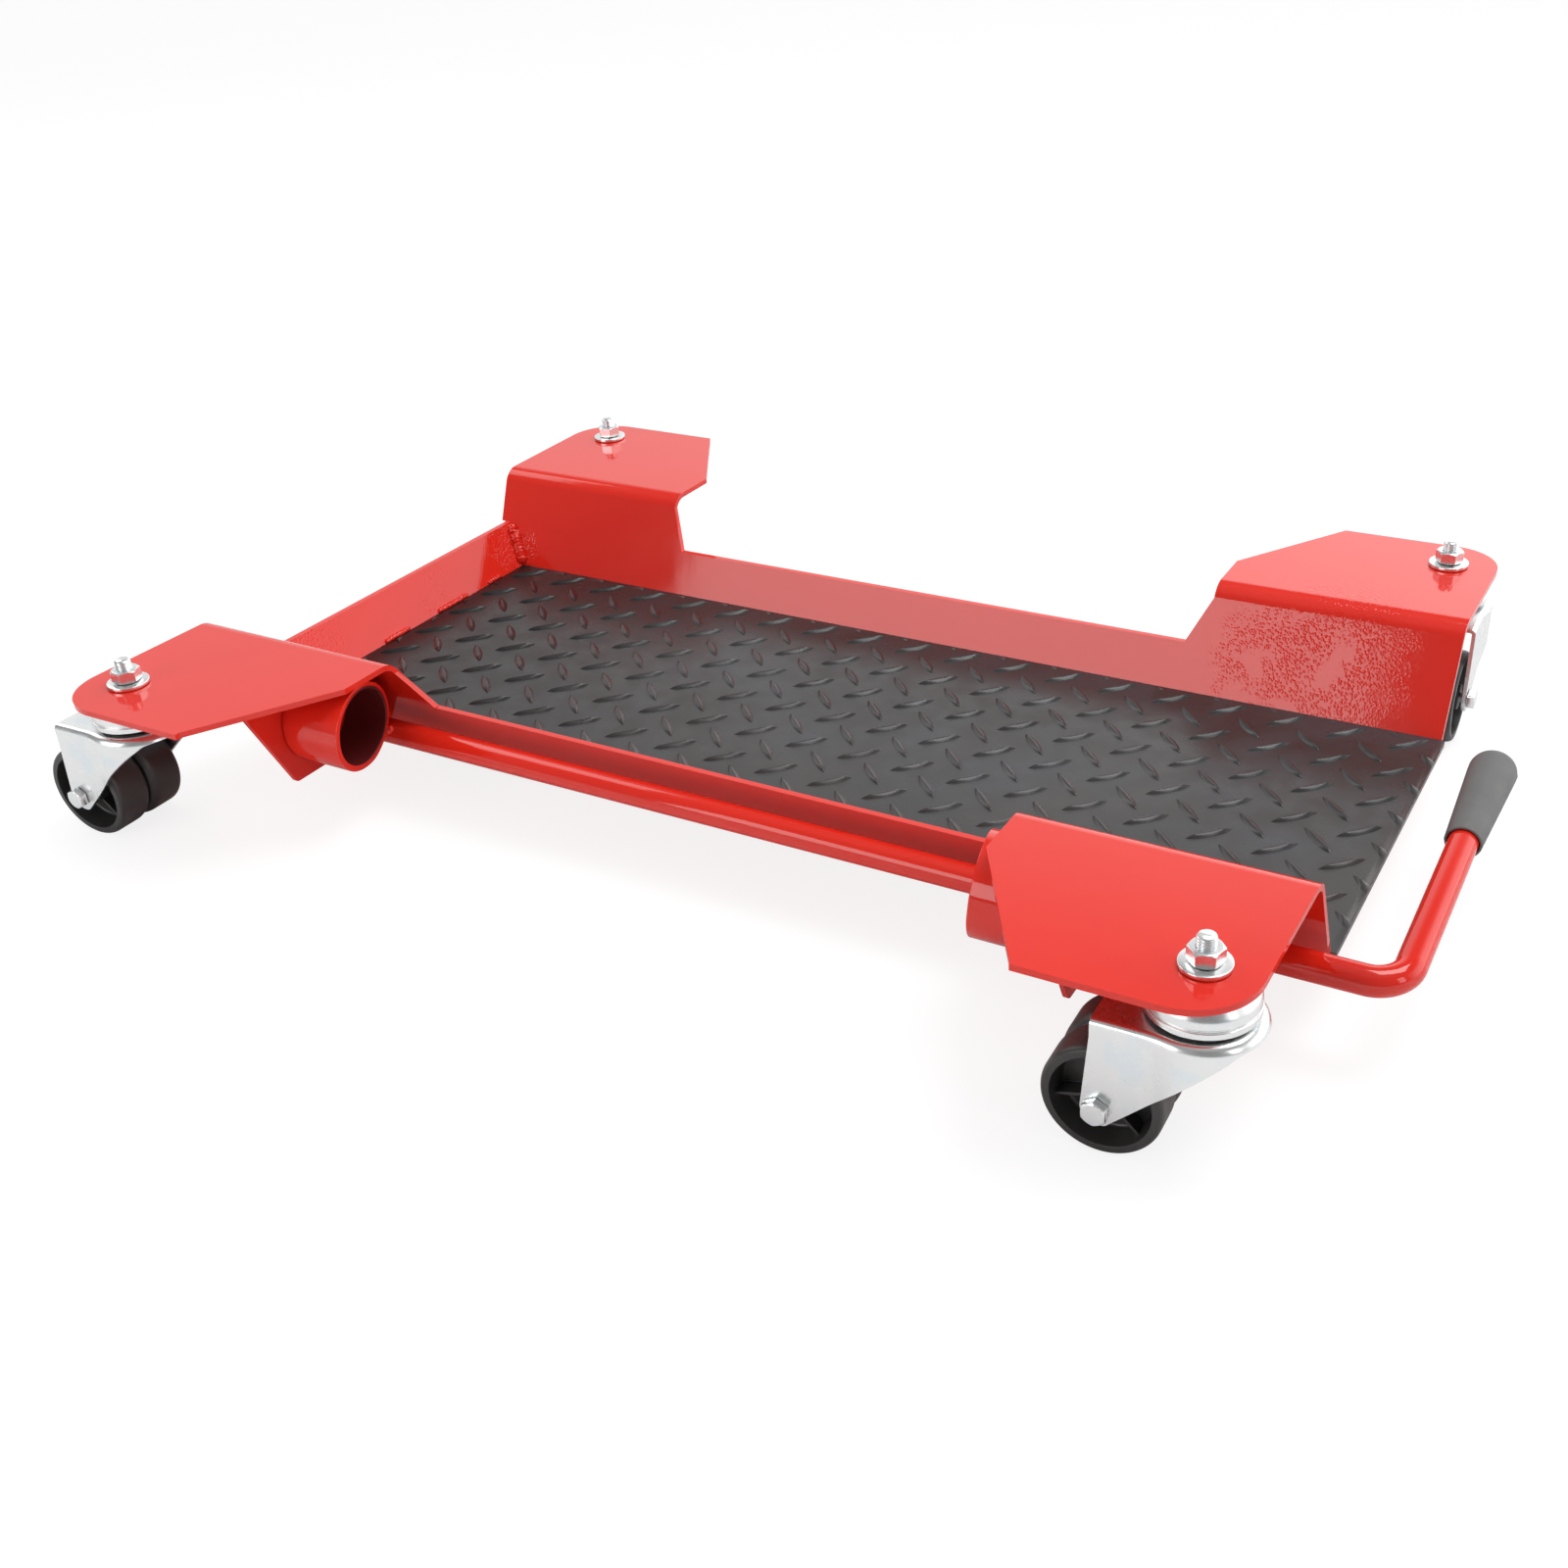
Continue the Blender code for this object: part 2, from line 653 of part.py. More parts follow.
def build_casters(finishes):
    stud, washer, cup = make_stud(), make_washer(), make_cup()
    stud_nut = make_nut(NUT_FLATS, NUT_HEIGHT, STUD_HOLE)
    fork, bearing = make_fork(), make_bearing()
    axle, axle_nut = make_axle(), make_nut(AXLE_FLATS, 5.0 * MM, AXLE_HOLE)
    wheel = make_wheel()
    nut_z = WING_TOP + 2 * GAP + WASHER_THICK
    head_down = (-pi / 2, 0, 0)
    head_up = (pi / 2, 0, 0)
    for corner, (x, y, turn) in CASTERS.items():
        fixed = pivot(corner + "_caster_mount", (x, y, 0))
        place(corner + "_stud", stud, finishes["zinc"], fixed)
        place(corner + "_washer", washer, finishes["zinc"], fixed)
        place(corner + "_stud_nut", stud_nut, finishes["zinc"], fixed, (0, 0, nut_z))
        place(corner + "_swivel_cup", cup, finishes["zinc"], fixed)
        swivel = pivot(corner + "_swivel_axis", (x, y, 0), (0, 0, turn))
        place(corner + "_fork", fork, finishes["zinc"], swivel)
        place(corner + "_ball_cage", bearing, finishes["seal_plastic"], swivel)
        centre = (-TRAIL, 0, AXLE_Z)
        outside = (-TRAIL, FORK_HALF_WIDTH + GAP, AXLE_Z)
        place(corner + "_axle", axle, finishes["zinc"], swivel, centre, head_down)
        place(corner + "_axle_nut", axle_nut, finishes["zinc"], swivel, outside, head_down)
        inner_side = 0.5 * MM
        near = (-TRAIL, -inner_side, AXLE_Z)
        far = (-TRAIL, inner_side, AXLE_Z)
        place(corner + "_wheel_near", wheel, finishes["wheel_plastic"], swivel, near, head_up)
        place(corner + "_wheel_far", wheel, finishes["wheel_plastic"], swivel, far, head_down)


def main():
    for leftover in list(bpy.data.objects):
        bpy.data.objects.remove(leftover)
    finishes = make_materials()
    build_platform(finishes)
    build_brake(finishes)
    build_casters(finishes)


main()
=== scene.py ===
"""The looks of a centre-stand dolly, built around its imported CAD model.

A bent red steel pan with a tread mat stands on four twin-wheel swivel casters. A lever turns
a shaft along the front, whose two welded tubes swing down to the ground as a brake.

Metres, +Z up, in the CAD model's own frame: the origin is the centre of the platform, on the mat's
top face. +X runs towards the lever, and -Y is the side of the brake shaft.
"""

import json
from math import acos, atan2, copysign, cos, exp, pi, radians, sin, sqrt, tan

import bmesh
import bpy
from mathutils import Matrix, Vector, noise
from mathutils.geometry import delaunay_2d_cdt


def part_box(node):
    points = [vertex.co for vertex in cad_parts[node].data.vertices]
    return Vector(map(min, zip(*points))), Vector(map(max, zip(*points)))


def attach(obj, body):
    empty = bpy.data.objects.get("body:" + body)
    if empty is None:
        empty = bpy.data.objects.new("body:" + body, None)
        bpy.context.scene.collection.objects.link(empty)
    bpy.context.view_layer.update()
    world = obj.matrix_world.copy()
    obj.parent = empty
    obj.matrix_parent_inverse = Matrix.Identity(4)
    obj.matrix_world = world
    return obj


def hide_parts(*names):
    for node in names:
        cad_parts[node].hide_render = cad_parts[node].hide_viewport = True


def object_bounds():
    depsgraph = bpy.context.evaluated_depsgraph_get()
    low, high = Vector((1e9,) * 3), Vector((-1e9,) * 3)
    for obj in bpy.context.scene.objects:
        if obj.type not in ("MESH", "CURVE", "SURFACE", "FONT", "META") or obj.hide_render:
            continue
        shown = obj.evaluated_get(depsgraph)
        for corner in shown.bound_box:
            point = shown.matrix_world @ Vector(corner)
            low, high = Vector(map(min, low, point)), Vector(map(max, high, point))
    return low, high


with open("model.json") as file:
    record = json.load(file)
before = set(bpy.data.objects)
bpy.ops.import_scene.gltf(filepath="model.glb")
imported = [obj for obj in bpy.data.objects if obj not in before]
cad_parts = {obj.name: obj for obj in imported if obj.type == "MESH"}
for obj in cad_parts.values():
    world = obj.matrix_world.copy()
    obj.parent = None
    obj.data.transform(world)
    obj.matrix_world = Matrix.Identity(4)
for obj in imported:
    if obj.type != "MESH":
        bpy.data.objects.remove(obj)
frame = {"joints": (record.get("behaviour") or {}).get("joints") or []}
CAD_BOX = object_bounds()

MM = 0.001
GAP = 0.3 * MM

# Sizes and places that the CAD model gives.
PAN_LOW, PAN_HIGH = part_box("pan")
MAT_LOW, MAT_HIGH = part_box("rubber_mat")
SHAFT_LOW, SHAFT_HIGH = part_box("brake_shaft")
GUSSET_LOW, GUSSET_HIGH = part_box("right_gusset")
JOINTS = {joint["name"]: joint for joint in frame["joints"]}
HALF_LENGTH = -PAN_LOW.x
REACH = -PAN_LOW.y
WING_TOP = PAN_HIGH.z
SHAFT_AXIS = Vector(JOINTS["brake_lever"]["pos_m"])

# Bent sheet. Heights are above the mat's top face.
SHEET = 3.0 * MM
MAT_THICK = MAT_HIGH.z - MAT_LOW.z
FLOOR_HALF_WIDTH = 102.0 * MM
PANEL_LEAN = radians(26.4)
STRIP_TOP = 23.4 * MM
WING_BEND = 10.5 * MM
FLOOR_BEND = 3.5 * MM
WING_SLOPE_TOP = 47.0 * MM
DIAGONAL_START_Y = 163.0 * MM
DIAGONAL_END_Y = 232.0 * MM
SHEET_EDGE = 0.55 * MM
WALL_FOOT_X = -288.0 * MM
WALL_TOP_X = -304.0 * MM

# Where the raised wings start along X on the front side (-1) and the back side (1), left and right:
# the slope's foot on the strip, the wing's inner end, and where its slanting edge meets the outer edge.
WING_STARTS = {
    -1: ((-167.3 * MM, -179.0 * MM, -221.5 * MM), (167.3 * MM, 179.0 * MM, 221.5 * MM)),
    1: ((-165.7 * MM, -176.3 * MM, -218.8 * MM), (167.3 * MM, 179.0 * MM, 224.0 * MM)),
}
PANEL_END_X = -312.2 * MM
PANEL_END_Y = 128.0 * MM

# The wings' outer corners, counter-clockwise from the back right: where the edges meet, and the radius.
WING_CORNERS = (
    (311.5 * MM, 228.5 * MM, 27.0 * MM),
    (-315.0 * MM, 232.0 * MM, 28.0 * MM),
    (-314.5 * MM, -234.8 * MM, 29.0 * MM),
    (310.5 * MM, -232.5 * MM, 30.0 * MM),
)

# Tread lugs on the mat.
LUG_PITCH_X = 31.7 * MM
LUG_PITCH_Y = 30.8 * MM
LUG_START = Vector((138.2 * MM, -2.3 * MM))
LUG_HALF_LENGTH = 12.6 * MM
LUG_HALF_WIDTH = 2.7 * MM
LUG_HEIGHT = 1.6 * MM
LUG_TURN = radians(44.5)
MAT_BORDER = 4.0 * MM

# Brake.
SHAFT_RADIUS = 6.75 * MM
LEVER_BEND = 15.0 * MM
LEVER_TILT = radians(3.9)
LEVER_LENGTH = 166.0 * MM
LEVER_X = SHAFT_HIGH.x - SHAFT_RADIUS
GRIP_START = 108.0 * MM
GRIP_LENGTH = 69.0 * MM
GRIP_NEAR_RADIUS = 8.4 * MM
GRIP_FAR_RADIUS = 11.2 * MM
TUBE_RADIUS = 24.0 * MM
TUBE_WALL = 3.5 * MM
TUBE_LENGTH = 32.9 * MM
TUBE_SLANT = radians(12.2)
TUBE_SLANT_TOWARDS = radians(150.0)
TUBES = {"left": (-217.9 * MM, radians(146.7)), "right": (203.4 * MM, radians(144.2))}
GUSSET_HOLE = 7.15 * MM

# Casters. A caster's own frame has its origin on the swivel axis, and its wheels trail towards -X.
NUT_TURNS = {"fl": -4.0, "fr": 17.0, "bl": 12.0, "br": 5.0}
STUD_RADIUS = 4.0 * MM
STUD_HOLE = 4.4 * MM
STUD_PITCH = 1.25 * MM
NUT_FLATS = 13.0 * MM
WASHER_RADIUS = 10.5 * MM
CUP_RADIUS = 22.5 * MM
FORK_SHEET = 2.0 * MM
FORK_HALF_WIDTH = 24.2 * MM
FORK_HEAD_RADIUS = 25.8 * MM
FORK_BEND = 3.0 * MM
FORK_HEAD_BEND = 5.2 * MM
AXLE_RADIUS = 3.0 * MM
AXLE_HOLE = 3.3 * MM
AXLE_PITCH = 1.0 * MM
AXLE_FLATS = 10.0 * MM
WHEEL_GAP = 0.5 * MM
WHEEL_RADIUS = 25.4 * MM
WHEEL_PAIR_HALF_WIDTH = 20.6 * MM
RIBS = 3

FORK_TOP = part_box("fr_fork")[1].z
AXLE_Z = JOINTS["fr_near_spin"]["pos_m"][2]
TRAIL = (Vector(JOINTS["fr_near_spin"]["pos_m"]) - Vector(JOINTS["fr_swivel"]["pos_m"])).xy.length

# Camera and studio.
CAMERA_PLACE = (0.4375, -0.6955, 0.4310)
CAMERA_TURN = (59.37, 2.55, 28.44)
CAMERA_LENS = 38.81
CAMERA_SHIFT = (-0.0625, 0.00625)


# Materials, all made of nodes


class Graph:
    """A node tree, with short calls that add to it."""

    def __init__(self, tree):
        self.tree = tree

    def add(self, kind, inputs=(), **settings):
        made = self.tree.nodes.new("ShaderNode" + kind)
        for key, value in settings.items():
            setattr(made, key, value)
        for key, value in dict(inputs).items():
            self.feed(made.inputs[key], value)
        return made

    def feed(self, socket, value):
        if isinstance(value, bpy.types.NodeSocket):
            self.tree.links.new(value, socket)
        else:
            socket.default_value = value

    def span(self, value, low, high, start, end):
        """value from low to high becomes start to end, smoothly and held outside."""
        values = {"Value": value, "From Min": low, "From Max": high, "To Min": start, "To Max": end}
        return self.add("MapRange", values, interpolation_type="SMOOTHSTEP").outputs["Result"]

    def math(self, operation, first, second):
        return self.add("Math", {0: first, 1: second}, operation=operation).outputs[0]


class Finish(Graph):
    """A material, with calls for what its surface shows."""

    def __init__(self, name):
        self.material = bpy.data.materials.new(name)
        self.material.use_nodes = True
        super().__init__(self.material.node_tree)
        self.shader = self.tree.nodes["Principled BSDF"]
        self.place = self.add("TexCoord").outputs["Object"]

    def set(self, **inputs):
        for name, value in inputs.items():
            self.feed(self.shader.inputs[name.replace("_", " ")], value)

    def noise(self, scale, detail=2.0, distortion=0.0):
        """Noise from 0 to 1, with scale features to the metre."""
        values = {"Vector": self.place, "Scale": scale, "Detail": detail, "Distortion": distortion}
        return self.add("TexNoise", values).outputs["Fac"]

    def mix(self, share, first, second):
        """From first to second, each a colour or a socket, as share goes from 0 to 1."""
        ends = [(*end, 1.0) if isinstance(end, tuple) else end for end in (first, second)]
        return self.add("Mix", {0: share, 6: ends[0], 7: ends[1]}, data_type="RGBA").outputs[2]

    def vary(self, scale, detail, low, high):
        """A value from low to high that wanders over the surface."""
        return self.span(self.noise(scale, detail), 0.3, 0.7, low, high)

    def near(self, centre, radius):
        """1 at centre, falling to 0 at radius."""
        apart = self.add("VectorMath", {0: self.place, 1: centre}, operation="DISTANCE").outputs["Value"]
        return self.span(apart, 0.35 * radius, radius, 1.0, 0.0)

    def bump(self, *layers):
        """Heights in metres, as (value from 0 to 1, height) layers, one on top of the other."""
        normal = None
        for value, height in layers:
            values = {"Height": value, "Distance": height, "Strength": 1.0}
            if normal is not None:
                values["Normal"] = normal
            normal = self.add("Bump", values).outputs["Normal"]
        self.set(Normal=normal)


# Where welding left the paint rough: below the back right wing, and along the left end wall.
ROUGH_SPOTS = (
    ((0.248, 0.122, 0.034), 0.060),
    ((0.215, 0.110, 0.016), 0.045),
    ((-0.292, -0.085, 0.012), 0.045),
    ((-0.292, 0.030, 0.006), 0.030),
    ((-0.292, 0.100, 0.014), 0.025),
)

# The inside of the brake tubes at rest, where the paint is darkened as painted shade and made rougher.
BORE_Y, BORE_Z = -151.0 * MM, 25.6 * MM
BORE_RADIUS = 21.4 * MM
BORE_END_X = 218.2 * MM


def bore_shade_mask(finish):
    """1 inside the brake tubes at rest, and 0 elsewhere: the mask of the painted shade in their bores."""
    x, y, z = finish.add("SeparateXYZ", {0: finish.place}).outputs
    away_y = finish.math("POWER", finish.math("SUBTRACT", y, BORE_Y), 2.0)
    away_z = finish.math("POWER", finish.math("SUBTRACT", z, BORE_Z), 2.0)
    close = finish.math("LESS_THAN", finish.math("ADD", away_y, away_z), BORE_RADIUS**2)
    between = finish.math("LESS_THAN", finish.math("ABSOLUTE", x, 0.0), BORE_END_X)
    return finish.math("MULTIPLY", close, between)


def painted_steel():
    """Glossy red powder coat with orange peel, rougher where welding spattered the sheet, with painted shade
    inside the brake tubes.
    """
    finish = Finish("red_powder_coat")
    colour = finish.mix(finish.noise(11.0, 3.0), (0.71, 0.0180, 0.0090), (0.78, 0.0270, 0.0130))
    bore = bore_shade_mask(finish)
    # Painted shade: the base colour turns dark red inside the brake tubes, where little light reaches.
    finish.set(Base_Color=finish.mix(bore, colour, (0.10, 0.008, 0.008)), IOR=1.52)
    gloss = finish.vary(40.0, 3.0, 0.05, 0.09)
    finish.set(Roughness=finish.math("MAXIMUM", gloss, finish.math("MULTIPLY", bore, 0.45)))
    rough = None
    for centre, radius in ROUGH_SPOTS:
        spot = finish.near(centre, radius)
        rough = spot if rough is None else finish.math("MAXIMUM", rough, spot)
    ragged = finish.span(finish.noise(55.0, 4.0), 0.32, 0.60, 0.0, 1.0)
    cells = finish.add("TexVoronoi", {"Vector": finish.place, "Scale": 640.0})
    pimple = finish.span(cells.outputs["Distance"], 0.05, 0.60, 1.0, 0.0)
    spatter = finish.math("MULTIPLY", pimple, finish.math("MULTIPLY", ragged, rough))
    finish.bump(
        (finish.noise(70.0, 1.0), 36e-6),
        (finish.noise(300.0, 2.0), 8e-6),
        (spatter, 100e-6),
    )
    return finish.material


def rubber_mat():
    """Black rubber, smudged brown and blue, with a soft sheen, darker towards its left end."""
    finish = Finish("smudged_rubber")
    smudge = finish.span(finish.noise(24.0, 4.0, distortion=0.6), 0.42, 0.68, 0.0, 1.0)
    dusty = finish.span(finish.noise(9.0, 3.0), 0.35, 0.7, 0.0, 1.0)
    dark = finish.mix(dusty, (0.036, 0.034, 0.034), (0.050, 0.047, 0.046))
    dust = finish.mix(smudge, dark, (0.047, 0.049, 0.053))
    along = finish.add("SeparateXYZ", {0: finish.place}).outputs["X"]
    # The base colour grows darker towards the mat's left end.
    off_left_end = finish.span(along, -0.30, -0.06, 0.0, 1.0)
    finish.set(Base_Color=finish.mix(off_left_end, (0.012, 0.009, 0.009), dust), Specular_IOR_Level=0.40)
    finish.set(Roughness=finish.vary(60.0, 4.0, 0.25, 0.36))
    finish.bump((finish.noise(900.0, 3.0), 9e-6), (finish.noise(45.0, 2.0), 70e-6))
    return finish.material


def zinc_plate():
    """Bright, smooth zinc plate with faint blue patches."""
    finish = Finish("bright_zinc")
    tint = finish.span(finish.noise(75.0, 3.0), 0.45, 0.75, 0.0, 1.0)
    finish.set(Base_Color=finish.mix(tint, (0.84, 0.85, 0.85), (0.77, 0.83, 0.86)), Metallic=1.0)
    finish.set(Roughness=finish.vary(50.0, 2.0, 0.24, 0.31))
    finish.bump((finish.noise(55.0, 1.0), 7e-6))
    return finish.material


def wheel_plastic():
    """Black moulded nylon, faintly brown, with a fine grain."""
    finish = Finish("black_nylon")
    colour = finish.mix(finish.noise(60.0, 3.0), (0.026, 0.025, 0.025), (0.044, 0.040, 0.038))
    finish.set(Base_Color=colour, Roughness=finish.vary(160.0, 3.0, 0.30, 0.44))
    finish.bump((finish.noise(1500.0, 2.0), 12e-6), (finish.noise(120.0, 1.0), 30e-6))
    return finish.material


def grip_rubber():
    """Matt grey-black grip, dustier in patches."""
    finish = Finish("matt_grip")
    colour = finish.mix(finish.noise(45.0, 3.0), (0.115, 0.115, 0.115), (0.150, 0.150, 0.147))
    finish.set(Base_Color=colour, Roughness=finish.vary(120.0, 3.0, 0.50, 0.62))
    finish.bump((finish.noise(2200.0, 2.0), 14e-6), (finish.noise(90.0, 1.0), 40e-6))
    return finish.material


def cage_plastic():
    """Greased black plastic."""
    finish = Finish("greased_plastic")
    finish.set(Base_Color=finish.mix(finish.noise(300.0), (0.010, 0.010, 0.010), (0.020, 0.018, 0.016)))
    finish.set(Roughness=finish.vary(300.0, 2.0, 0.35, 0.55))
    finish.bump((finish.noise(700.0), 20e-6))
    return finish.material


# The finish of each of the record's material slots.
FINISHES = {
    "painted_steel": painted_steel(),
    "rubber_mat": rubber_mat(),
    "zinc_plate": zinc_plate(),
    "wheel_plastic": wheel_plastic(),
    "grip": grip_rubber(),
    "cage_plastic": cage_plastic(),
}


# Mesh tools


def shown(name, data):
    """A new object in the scene."""
    made = bpy.data.objects.new(name, data)
    bpy.context.scene.collection.objects.link(made)
    return made


def finished_mesh(shape, name):
    bmesh.ops.recalc_face_normals(shape, faces=shape.faces)
    mesh = bpy.data.meshes.new(name)
    shape.to_mesh(mesh)
    shape.free()
    return mesh


def prism(outline, axis, low, high):
    """A closed mesh: an outline drawn out along axis. Its points are (y, z), (x, z) or (x, y)."""
    place = "XYZ".index(axis)
    shape = bmesh.new()
    ends = []
    for along in (low, high):
        ends.append([shape.verts.new((*point[:place], along, *point[place:])) for point in outline])
    shape.faces.new(ends[0])
    shape.faces.new(ends[1])
    bridge(shape, ends[0], ends[1])
    return finished_mesh(shape, "prism")


def bridge(shape, first, last):
    """Faces between two rings of the same number of points."""
    for i in range(len(first)):
        k = (i + 1) % len(first)
        shape.faces.new((first[i], first[k], last[k], last[i]))


def skin(shape, rings):
    """Faces along a row of rings, and over its two ends."""
    for here, there in zip(rings, rings[1:]):
        bridge(shape, here, there)
    shape.faces.new(rings[0])
    shape.faces.new(rings[-1])


def turned(profile, steps):
    """A closed profile of (radius, z) points turned about Z. A point of radius 0 lies on the axis."""
    shape = bmesh.new()
    rings = []
    for radius, z in profile:
        count = steps if radius > 0 else 1
        angles = [2 * pi * i / steps for i in range(count)]
        rings.append([shape.verts.new((radius * cos(a), radius * sin(a), z)) for a in angles])
    for here, there in zip(rings, rings[1:] + rings[:1]):
        if len(here) == len(there) == 1:
            continue
        for i in range(steps):
            k = (i + 1) % steps
            corners = (here[i % len(here)], here[k % len(here)], there[k % len(there)], there[i % len(there)])
            shape.faces.new(list(dict.fromkeys(corners)))
    return finished_mesh(shape, "turned")


def threaded(radius, pitch, low, high, chamfer):
    """A rod with a real thread, chamfered at its top."""
    steps, rows_per_turn = 28, 8
    depth = 0.45 * pitch
    rows = int((high - low) / pitch * rows_per_turn)
    shape = bmesh.new()
    rings = []
    for row in range(rows + 1):
        z = low + (high - low) * row / rows
        ring = []
        for i in range(steps):
            phase = (z / pitch - i / steps) % 1.0
            groove = depth * (1.0 - min(1.0, max(0.0, 3.2 * abs(phase - 0.5) - 0.2)))
            r = min(radius - groove, radius - chamfer + (high - z))
            turn = 2 * pi * i / steps
            ring.append(shape.verts.new((r * cos(turn), r * sin(turn), z)))
        rings.append(ring)
    skin(shape, rings)
    return finished_mesh(shape, "threaded")


def swept(path, radii, steps, side):
    """A round bar along a flat path, a list of points in the plane at right angles to side."""
    shape = bmesh.new()
    rings = []
    for i, point in enumerate(path):
        before = path[max(i - 1, 0)]
        after = path[min(i + 1, len(path) - 1)]
        across = side.cross((after - before).normalized())
        angles = [2 * pi * k / steps for k in range(steps)]
        ring = [point + radii[i] * (cos(a) * across + sin(a) * side) for a in angles]
        rings.append([shape.verts.new(p) for p in ring])
    skin(shape, rings)
    return finished_mesh(shape, "swept")


def joined(base, *steps, edge=0.0, edge_steps=2):
    """base after each Boolean (operation, mesh) of steps, with its sharp edges rounded to radius edge."""
    helpers = [shown("base", base)]
    for operation, mesh in steps:
        helpers.append(shown("tool", mesh))
        modifier = helpers[0].modifiers.new(operation, "BOOLEAN")
        modifier.operation = operation
        modifier.object = helpers[-1]
    if edge:
        soften(helpers[0], edge, edge_steps)
    graph = bpy.context.evaluated_depsgraph_get()
    made = bpy.data.meshes.new_from_object(helpers[0].evaluated_get(graph))
    for helper in helpers:
        bpy.data.objects.remove(helper)
    return made


def soften(target, edge, edge_steps):
    """Rounds the sharp edges, and keeps the flat faces flat in the shading."""
    bevel = target.modifiers.new("edges", "BEVEL")
    bevel.width = edge
    bevel.segments = edge_steps
    bevel.limit_method = "ANGLE"
    bevel.angle_limit = radians(28)
    target.data.shade_smooth()
    weighted = target.modifiers.new("flats", "WEIGHTED_NORMAL")
    weighted.weight = 100


# Outlines


def arc(centre, radius, start, end, steps):
    """Points on a circle from angle start to angle end, both included."""
    angles = [start + (end - start) * i / steps for i in range(steps + 1)]
    return [(centre[0] + radius * cos(a), centre[1] + radius * sin(a)) for a in angles]


def circle(radius, steps, centre=(0.0, 0.0)):
    return arc(centre, radius, 0, 2 * pi * (steps - 1) / steps, steps - 1)


def rounded(corners, steps=5):
    """A closed outline from (a, b) corners. A corner (a, b, radius) is rounded."""
    outline = []
    for i, corner in enumerate(corners):
        here = Vector(corner[:2])
        if len(corner) == 2:
            outline.append(tuple(here))
            continue
        back = (Vector(corners[i - 1][:2]) - here).normalized()
        ahead = (Vector(corners[(i + 1) % len(corners)][:2]) - here).normalized()
        half = back.angle(ahead) / 2
        centre = here + (back + ahead).normalized() * corner[2] / sin(half)
        spoke = here + back * corner[2] / tan(half) - centre
        last = here + ahead * corner[2] / tan(half) - centre
        turn = (pi - 2 * half) * (1 if spoke.x * last.y - spoke.y * last.x > 0 else -1)
        for k in range(steps + 1):
            outline.append(tuple(centre + Matrix.Rotation(turn * k / steps, 2) @ spoke))
    return outline


def through(points, steps):
    """A smooth open curve through points."""
    ends = [points[0]] + list(points) + [points[-1]]
    curve = []
    for i in range(1, len(ends) - 2):
        a, b, c, d = (Vector(p) for p in ends[i - 1 : i + 3])
        for k in range(steps):
            t = k / steps
            at = b * 2 + (c - a) * t + (a * 2 - b * 5 + c * 4 - d) * t**2 + (b * 3 - a - c * 3 + d) * t**3
            curve.append(tuple(at / 2))
    return curve + [tuple(points[-1])]


def bent_strip(corners, bends, thick, steps):
    """The outline of bent sheet whose mid-line runs through corners and turns at each with its radius."""
    line = [Vector(c) for c in corners]
    left, right = [], []

    def add(point, normal):
        left.append(tuple(point + normal * thick / 2))
        right.append(tuple(point - normal * thick / 2))

    def heading(i):
        return (line[i + 1] - line[i]).normalized()

    def normal_of(direction):
        return Vector((-direction.y, direction.x))

    add(line[0], normal_of(heading(0)))
    for i, bend in enumerate(bends, start=1):
        entry, leave = heading(i - 1), heading(i)
        turn = acos(max(-1.0, min(1.0, entry.dot(leave))))
        sense = 1 if entry.x * leave.y - entry.y * leave.x > 0 else -1
        start = line[i] - entry * bend * tan(turn / 2)
        centre = start + normal_of(entry) * bend * sense
        for k in range(steps + 1):
            normal = Matrix.Rotation(sense * turn * k / steps, 2) @ normal_of(entry)
            add(centre - normal * bend * sense, normal)
    add(line[-1], normal_of(heading(len(line) - 2)))
    return left + right[::-1]


def panel_inner_y(z):
    return FLOOR_HALF_WIDTH + z * tan(PANEL_LEAN)


def panel_middle_y(z):
    return panel_inner_y(z) + SHEET / 2 / cos(PANEL_LEAN)


def panel_outer_y(z):
    return panel_inner_y(z) + SHEET / cos(PANEL_LEAN)


def wall_inner_x(z):
    return WALL_FOOT_X + (WALL_TOP_X - WALL_FOOT_X) * z / STRIP_TOP


# Pieces


def piece(name, mesh, slot, body, *nodes, at=None, smooth=None):
    """A shown piece that rides on a CAD body and stands for CAD nodes. Copies may share a mesh."""
    if not mesh.materials:
        mesh.materials.append(FINISHES[slot])
        if smooth:
            mesh.shade_smooth()
            mesh.set_sharp_from_angle(angle=radians(smooth))
    made = shown(name, mesh)
    if at is not None:
        made.matrix_world = at
    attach(made, body)
    if nodes:
        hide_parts(*nodes)
    return made


def beads(*runs):
    """Weld beads in one mesh. A run is (start, end, radius, seed)."""
    shape = bmesh.new()
    for start, end, radius, seed in runs:
        add_bead(shape, Vector(start), Vector(end), radius, seed)
    return finished_mesh(shape, "beads")


def add_bead(shape, start, end, radius, seed):
    """One bead: a bar that swells at each ripple of the weld, with rounded ends."""
    ripple, step, sides = 2.4 * MM, 0.6 * MM, 12
    length = (end - start).length
    along = (end - start).normalized()
    across = along.orthogonal().normalized()
    above = along.cross(across)
    count = max(8, int(length / step))
    rings = []
    for i in range(count + 1):
        run = length * i / count
        from_end = min(run, length - run)
        tip = sqrt(max(0.04, 1.0 - max(0.0, 1.0 - from_end / radius) ** 2))
        swell = 1.0 + 0.09 * sin(2 * pi * run / ripple)
        ring = []
        for k in range(sides):
            angle = 2 * pi * k / sides
            spoke = cos(angle) * across + sin(angle) * above
            centre = start + along * run
            lump = 0.30 * noise.noise((centre + spoke * radius) * 420.0 + Vector((seed, 0, 0)))
            ring.append(shape.verts.new(centre + spoke * radius * tip * (swell + lump)))
        rings.append(ring)
    skin(shape, rings)


# Platform


